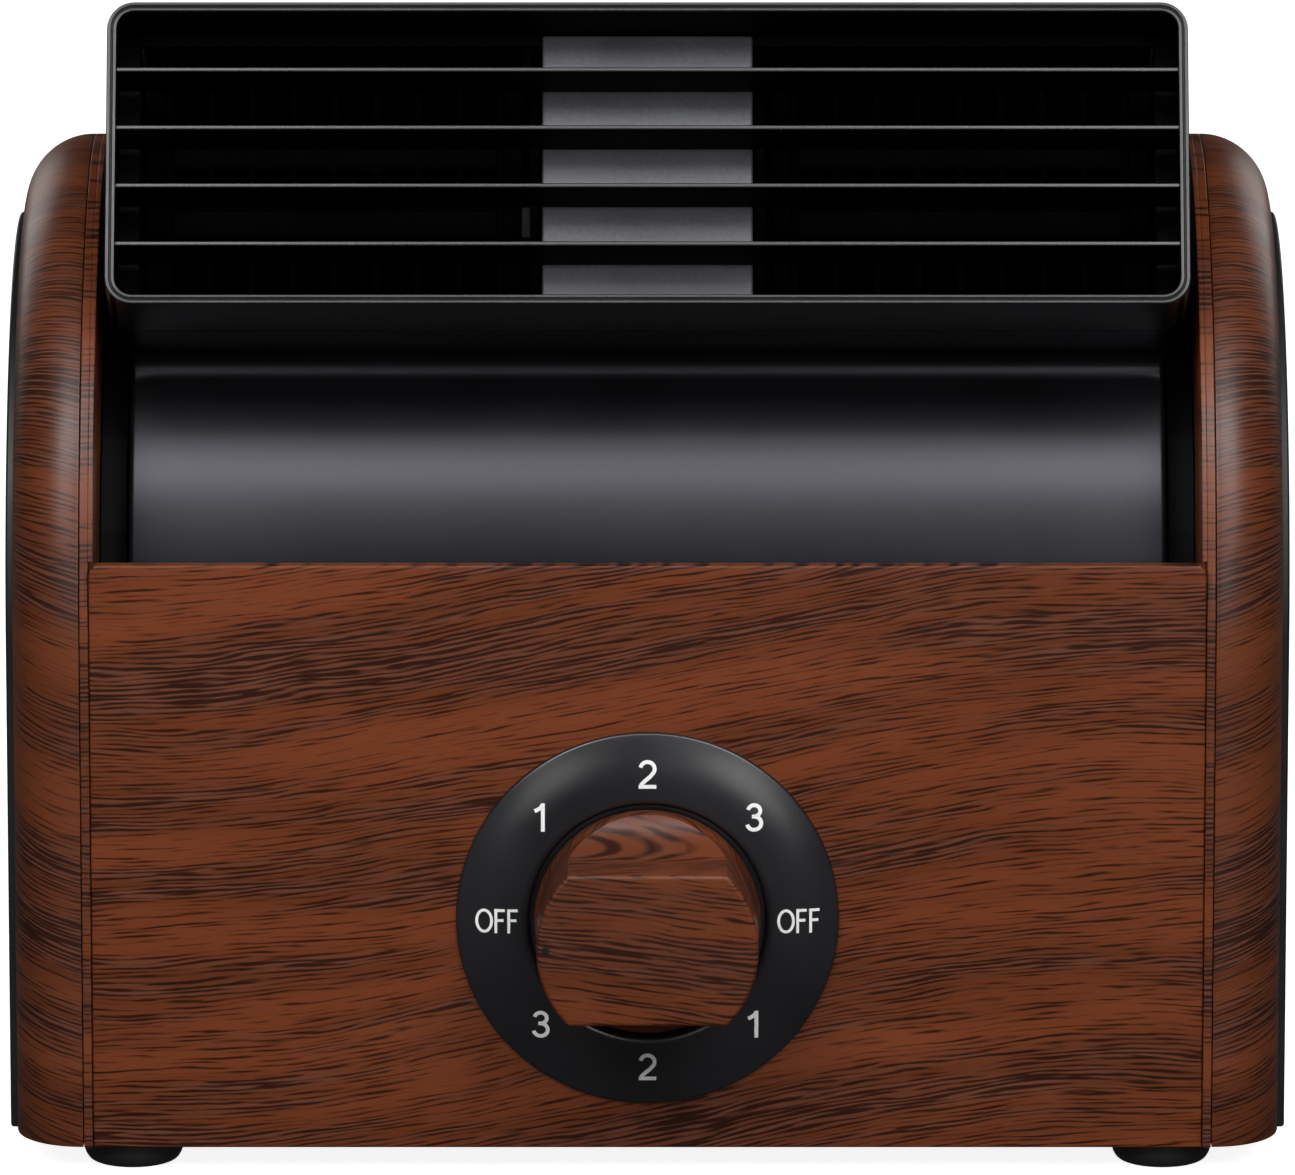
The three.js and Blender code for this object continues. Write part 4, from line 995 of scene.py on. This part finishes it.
def build_knob():
    """Round knob with two flats, which run out to its rim in hollow curves."""
    reach = FRONT_Y - knob_low.y
    back = FRONT_Y - knob_high.y
    root = 4.0 * MM
    edge = 0.9 * MM
    scoop = 10 * MM
    lift = root + scoop
    disc_radius = (knob_high.x - knob_low.x) / 2
    body = rounded([
        (0, back), (disc_radius - 0.3 * MM, back), (disc_radius, back + 0.4 * MM),
        (disc_radius, root), (GRIP_RADIUS, root + 2 * MM), (GRIP_RADIUS, reach), (0, reach),
    ], edge, 6, closed=False)
    place = facing_front(0, FRONT_Y, KNOB_Z)
    round_part = new_object("knob_round", turned("knob_round", body, place, 128))
    hollow = arc((GRIP_HALF_HEIGHT + scoop, lift), scoop, 1.5 * pi, pi, 20)
    top = rounded([(GRIP_HALF_HEIGHT, lift), (GRIP_HALF_HEIGHT, reach), (0, reach)],
                  edge, 6, closed=False)
    wide = 25 * MM
    half = [(wide, back - 1 * MM), (wide, root)] + hollow + top[1:-1]
    outline = half + [(-z, h) for z, h in reversed(half)]
    left = [(-wide, FRONT_Y - h, KNOB_Z + z) for z, h in outline]
    right = [(wide, FRONT_Y - h, KNOB_Z + z) for z, h in outline]
    cutter = new_object("knob_flats", sweep("knob_flats", [left, right]))
    trim = round_part.modifiers.new("flats", "BOOLEAN")
    trim.operation = "INTERSECT"
    trim.solver = "EXACT"
    trim.object = cutter
    graph = bpy.context.evaluated_depsgraph_get()
    mesh = bpy.data.meshes.new_from_object(round_part.evaluated_get(graph))
    bpy.data.objects.remove(round_part)
    bpy.data.objects.remove(cutter)
    return tidy(mesh)


def build_pointer():
    """Dark dimple at one end of the grip, which points at the setting."""
    reach = FRONT_Y - knob_low.y
    profile = rounded([(0, -0.5 * MM), (0.75 * MM, -0.5 * MM), (0.8 * MM, 0.0), (0, 0.04 * MM)],
                      0.15 * MM, 3, closed=False)
    place = facing_front(-GRIP_RADIUS + 1.7 * MM, FRONT_Y - reach, KNOB_Z)
    stretched = place @ Matrix.Diagonal((1, 1.4, 1, 1))
    return turned("knob_pointer", profile, stretched, 32)


def build_control():
    finish_piece("dial_skin", build_dial(), black_dial, "base", ["dial_plate"])
    finish_piece("dial_figures", build_figures(), white_ink, "base", [])
    finish_piece("knob_skin", build_knob(), wood_knob, "knob", ["knob"], radians(28))
    finish_piece("knob_pointer", build_pointer(), pointer_mark, "knob", [])


# ---------------------------------------------------------------- head


def head_path(which):
    """Side view of the front shell (0) or the rear one (1): points with the way inwards."""
    radius = DRUM_RADIUS
    bend = NOZZLE_FILLET
    meet_y = -sqrt((radius + bend) ** 2 - (NOZZLE_FLOOR - bend) ** 2)
    centre = Vector((meet_y, NOZZLE_FLOOR - bend))
    path = [((OUTLET_Y + GRILLE_DEPTH + GAP, NOZZLE_FLOOR), (0, 1))]
    sweep_to = asin(centre.y / (radius + bend))
    for k in range(9):
        a = pi / 2 - (pi / 2 + sweep_to) * k / 8
        point = (centre.x + bend * cos(a), centre.y + bend * sin(a))
        path.append((point, (cos(a), sin(a))))
    begin = pi - sweep_to
    steps = 60
    for k in range(1, steps + 1):
        a = begin + (2 * pi - begin) * k / steps
        path.append(((radius * cos(a), radius * sin(a)), (-cos(a), -sin(a))))
    split = len(path) - 1
    path.append(((radius, NOZZLE_FLOOR), (-1, 0)))
    for k in range(1, 25):
        a = pi / 2 * k / 24
        path.append(((radius * cos(a), NOZZLE_FLOOR + radius * sin(a)), (-cos(a), -sin(a))))
    path.append(((OUTLET_Y + GRILLE_DEPTH + GAP, NOZZLE_ROOF), (0, -1)))
    return path[split:] if which else path[:split + 1]


def shell_section():
    """[x, inwards] pairs across the shell: outer skin, rolled ends and inner skin."""
    x = DRUM_HALF_LENGTH
    r = DRUM_END_ROUND
    half = arc((x - r, r), r, -pi / 2, 0, 10)
    half += [(x, r + 0.3 * MM), (x - SHELL, r + 0.3 * MM), (x - SHELL - 0.6 * MM, SHELL)]
    return half + [(-a, b) for a, b in reversed(half)]


def build_shell(name, which):
    sections = []
    for (y, z), (iy, iz) in head_path(which):
        sections.append([(x, y + iy * inward, z + iz * inward) for x, inward in shell_section()])
    if which:
        sections[0] = [(x, y, z + GAP / 2) for x, y, z in sections[0]]
    return in_head(sweep(name, sections))


def head_outline(inset, front):
    """Closed side view of the head, drawn inwards by inset."""
    radius = DRUM_RADIUS - inset
    floor = NOZZLE_FLOOR + inset
    meet = asin(floor / radius)
    points = [(front, floor)] + arc((0, 0), radius, pi - meet, 2 * pi, 60)
    points += arc((0, NOZZLE_FLOOR), radius, 0, pi / 2, 24)
    return points + [(front, NOZZLE_ROOF - inset)]


def tube(name, bore, radius, start, end, steps):
    """A ring round the x axis with softened edges."""
    profile = rounded([(bore, start), (radius, start), (radius, end), (bore, end)], 0.5 * MM, 3)
    return turned(name, profile, facing_side(0, 0, 0), steps, closed=True)


def build_drum_end():
    """End plate with a spider of three arms in its air inlet, and the collar that it turns on."""
    inset = DRUM_END_ROUND + 0.7 * MM
    outline = head_outline(inset, GRILLE_BACK + END_PLATE_GAP)
    third = 2 * pi / 3
    holes = []
    for k in range(3):
        start = pi / 2 + k * third
        slack = SPIDER_ARM / 2 / COLLAR_BORE
        outer = arc((0, 0), COLLAR_BORE, start + slack, start + third - slack, 22)
        slack = SPIDER_ARM / 2 / HUB_RADIUS
        inner = arc((0, 0), HUB_RADIUS, start + slack, start + third - slack, 8)
        holes.append(outer + inner[::-1])
    middle = DRUM_HALF_LENGTH - SHELL / 2 - 0.1 * MM
    place = facing_side(middle, 0, 0)
    face = plate("end_face", [outline] + holes, SHELL - 0.2 * MM, 0.3 * MM, place)
    inner_face = DRUM_HALF_LENGTH - SHELL
    collar = tube("end_collar", COLLAR_BORE, COLLAR_RADIUS,
                  inner_face + 0.4 * MM, COLLAR_END, 96)
    boss = tube("end_boss", 2.9 * MM, 6 * MM,
                inner_face - 4 * MM, DRUM_HALF_LENGTH + 2 * MM, 40)
    return together("drum_right_end", [face, collar, boss])


RIM_SECTION = [
    (0.0, GRILLE_DEPTH / MM), (0.0, 0.40), (0.05, 0.16), (0.16, 0.03), (0.26, 0.0), (0.58, 0.0),
    (0.68, 0.05), (0.78, 0.20), (0.90, 0.26), (1.02, 0.20), (1.12, 0.05), (1.22, 0.0), (1.54, 0.0),
    (1.64, 0.03), (1.75, 0.16), (1.80, 0.40), (1.80, GRILLE_DEPTH / MM),
]


def build_rim():
    """Outlet frame whose front edge is two fine beads with a hollow between them."""
    loops = []
    for inset, depth in RIM_SECTION:
        inset *= MM
        half = GRILLE_HALF_WIDTH - inset
        outline = rounded_rectangle(-half, half, NOZZLE_FLOOR + inset, NOZZLE_ROOF - inset,
                                    GRILLE_CORNER - inset, 10)
        loops.append([(x, OUTLET_Y + depth * MM, z) for x, z in outline])
    return sweep("rim", loops, closed_path=True)


def build_grille():
    """Rounded outlet frame, the flange behind it and four slats; what faces into the opening gets a near-black,
    dull finish as painted shade.
    """
    w = GRILLE_HALF_WIDTH
    low, high = NOZZLE_FLOOR, NOZZLE_ROOF
    side = w - 5.5 * MM
    inset = 0.4 * MM
    rim = rounded_rectangle(-w + inset, w - inset, low + inset, high - inset, GRILLE_CORNER, 10)
    window = rectangle(-side, side, low + 2 * SHELL, high - 2 * SHELL)
    place = facing_front(0, GRILLE_BACK - SHELL / 2, 0)
    flange = plate("flange", [rim, window], SHELL, 0.2 * MM, place)
    meshes = [build_rim(), flange]
    front = OUTLET_Y + SLAT_SETBACK
    half = SLAT_THICKNESS / 2
    for k in range(SLAT_COUNT):
        z = high - FIRST_SLAT_DROP - k * SLAT_PITCH
        start = (-w + 1 * MM, front, z - half)
        end = (w - 1 * MM, front + SLAT_DEPTH, z + half)
        meshes.append(block("slat", start, end, 0.22 * MM, 3))
    mesh = together("outlet_grille", meshes)
    mesh.materials.append(black_grille)
    mesh.materials.append(outlet_painted_shade)
    skin = SHELL / 2
    # Faces inside the outlet, behind its front edge, take the near-black finish as painted shade
    for polygon in mesh.polygons:
        x, y, z = polygon.center
        inside = abs(x) < w - skin and low + skin < z < high - skin
        polygon.material_index = int(inside and y > OUTLET_Y + 1.5 * MM)
    return in_head(mesh)


def build_centre_plate():
    """Channel behind the slats, with rolled long edges."""
    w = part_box("centre_plate")[1].x
    thick = 1.4 * MM
    back = GRILLE_BACK - SHELL - GAP
    start = (-w, back - thick, NOZZLE_FLOOR + SHELL + GAP)
    end = (w, back, NOZZLE_ROOF - SHELL - GAP)
    web = block("web", start, end, 0.5 * MM, 3)
    meshes = [web]
    for side in (-1, 1):
        edge = sorted((side * w, side * (w - thick)))
        meshes.append(block("side", (edge[0], back - thick * 0.6, NOZZLE_FLOOR + 4.2 * MM),
                            (edge[1], -54 * MM, NOZZLE_ROOF - 4.4 * MM), 0.3 * MM))
    return in_head(together("centre_plate", meshes))


def build_head():
    finish_piece("drum_front_skin", build_shell("drum_front", 0), black_satin, "head",
                 ["drum_front_shell"])
    finish_piece("drum_rear_skin", build_shell("drum_rear", 1), black_satin, "head",
                 ["drum_rear_shell"])
    end = in_head(build_drum_end())
    other = mirrored(end)
    finish_piece("drum_right_end_skin", end, black_satin, "head",
                 ["drum_right_end"])
    finish_piece("drum_left_end_skin", other, black_satin, "head",
                 ["drum_left_end"])
    finish_piece("outlet_grille_skin", build_grille(), black_grille, "head",
                 ["outlet_grille"])
    finish_piece("centre_plate_skin", build_centre_plate(), grey_plate, "head",
                 ["centre_plate"])


# ---------------------------------------------------------------- CAD nodes that stay

SLOT_MATERIALS = {
    "wood_grain": wood_wall,
    "black_satin": black_satin,
    "black_gloss": black_dial,
    "rubber": black_rubber,
    "grey_plate": grey_plate,
    "dark_plastic": dark_plastic,
    "white_plastic": white_plastic,
    "steel": steel,
    "brass": brass,
    "aluminium": aluminium,
    "black_metal": heater_painted_shade,
    "ceramic": ceramic,
}


def dress_nodes():
    """Gives every CAD node its slot's finish, smooth shading and narrow rounded edges."""
    slots = {part["node"]: part["material_slot"] for part in frame["record"]["subparts"]}
    for node, piece in frame["nodes"].items():
        # Heater parts take the near-black finish as painted shade, whatever their slot
        material = heater_painted_shade if node.startswith("heater_") else SLOT_MATERIALS[slots[node]]
        if not piece.material_slots:
            piece.data.materials.append(material)
        for slot in piece.material_slots:
            slot.material = material
        edges = piece.modifiers.new("edges", "BEVEL")
        edges.width = CAD_EDGE
        edges.segments = 2
        edges.limit_method = "ANGLE"
        edges.angle_limit = radians(40)
        edges.harden_normals = False
        piece.data.shade_smooth()


dress_nodes()
build_cabinet()
build_control()
build_head()
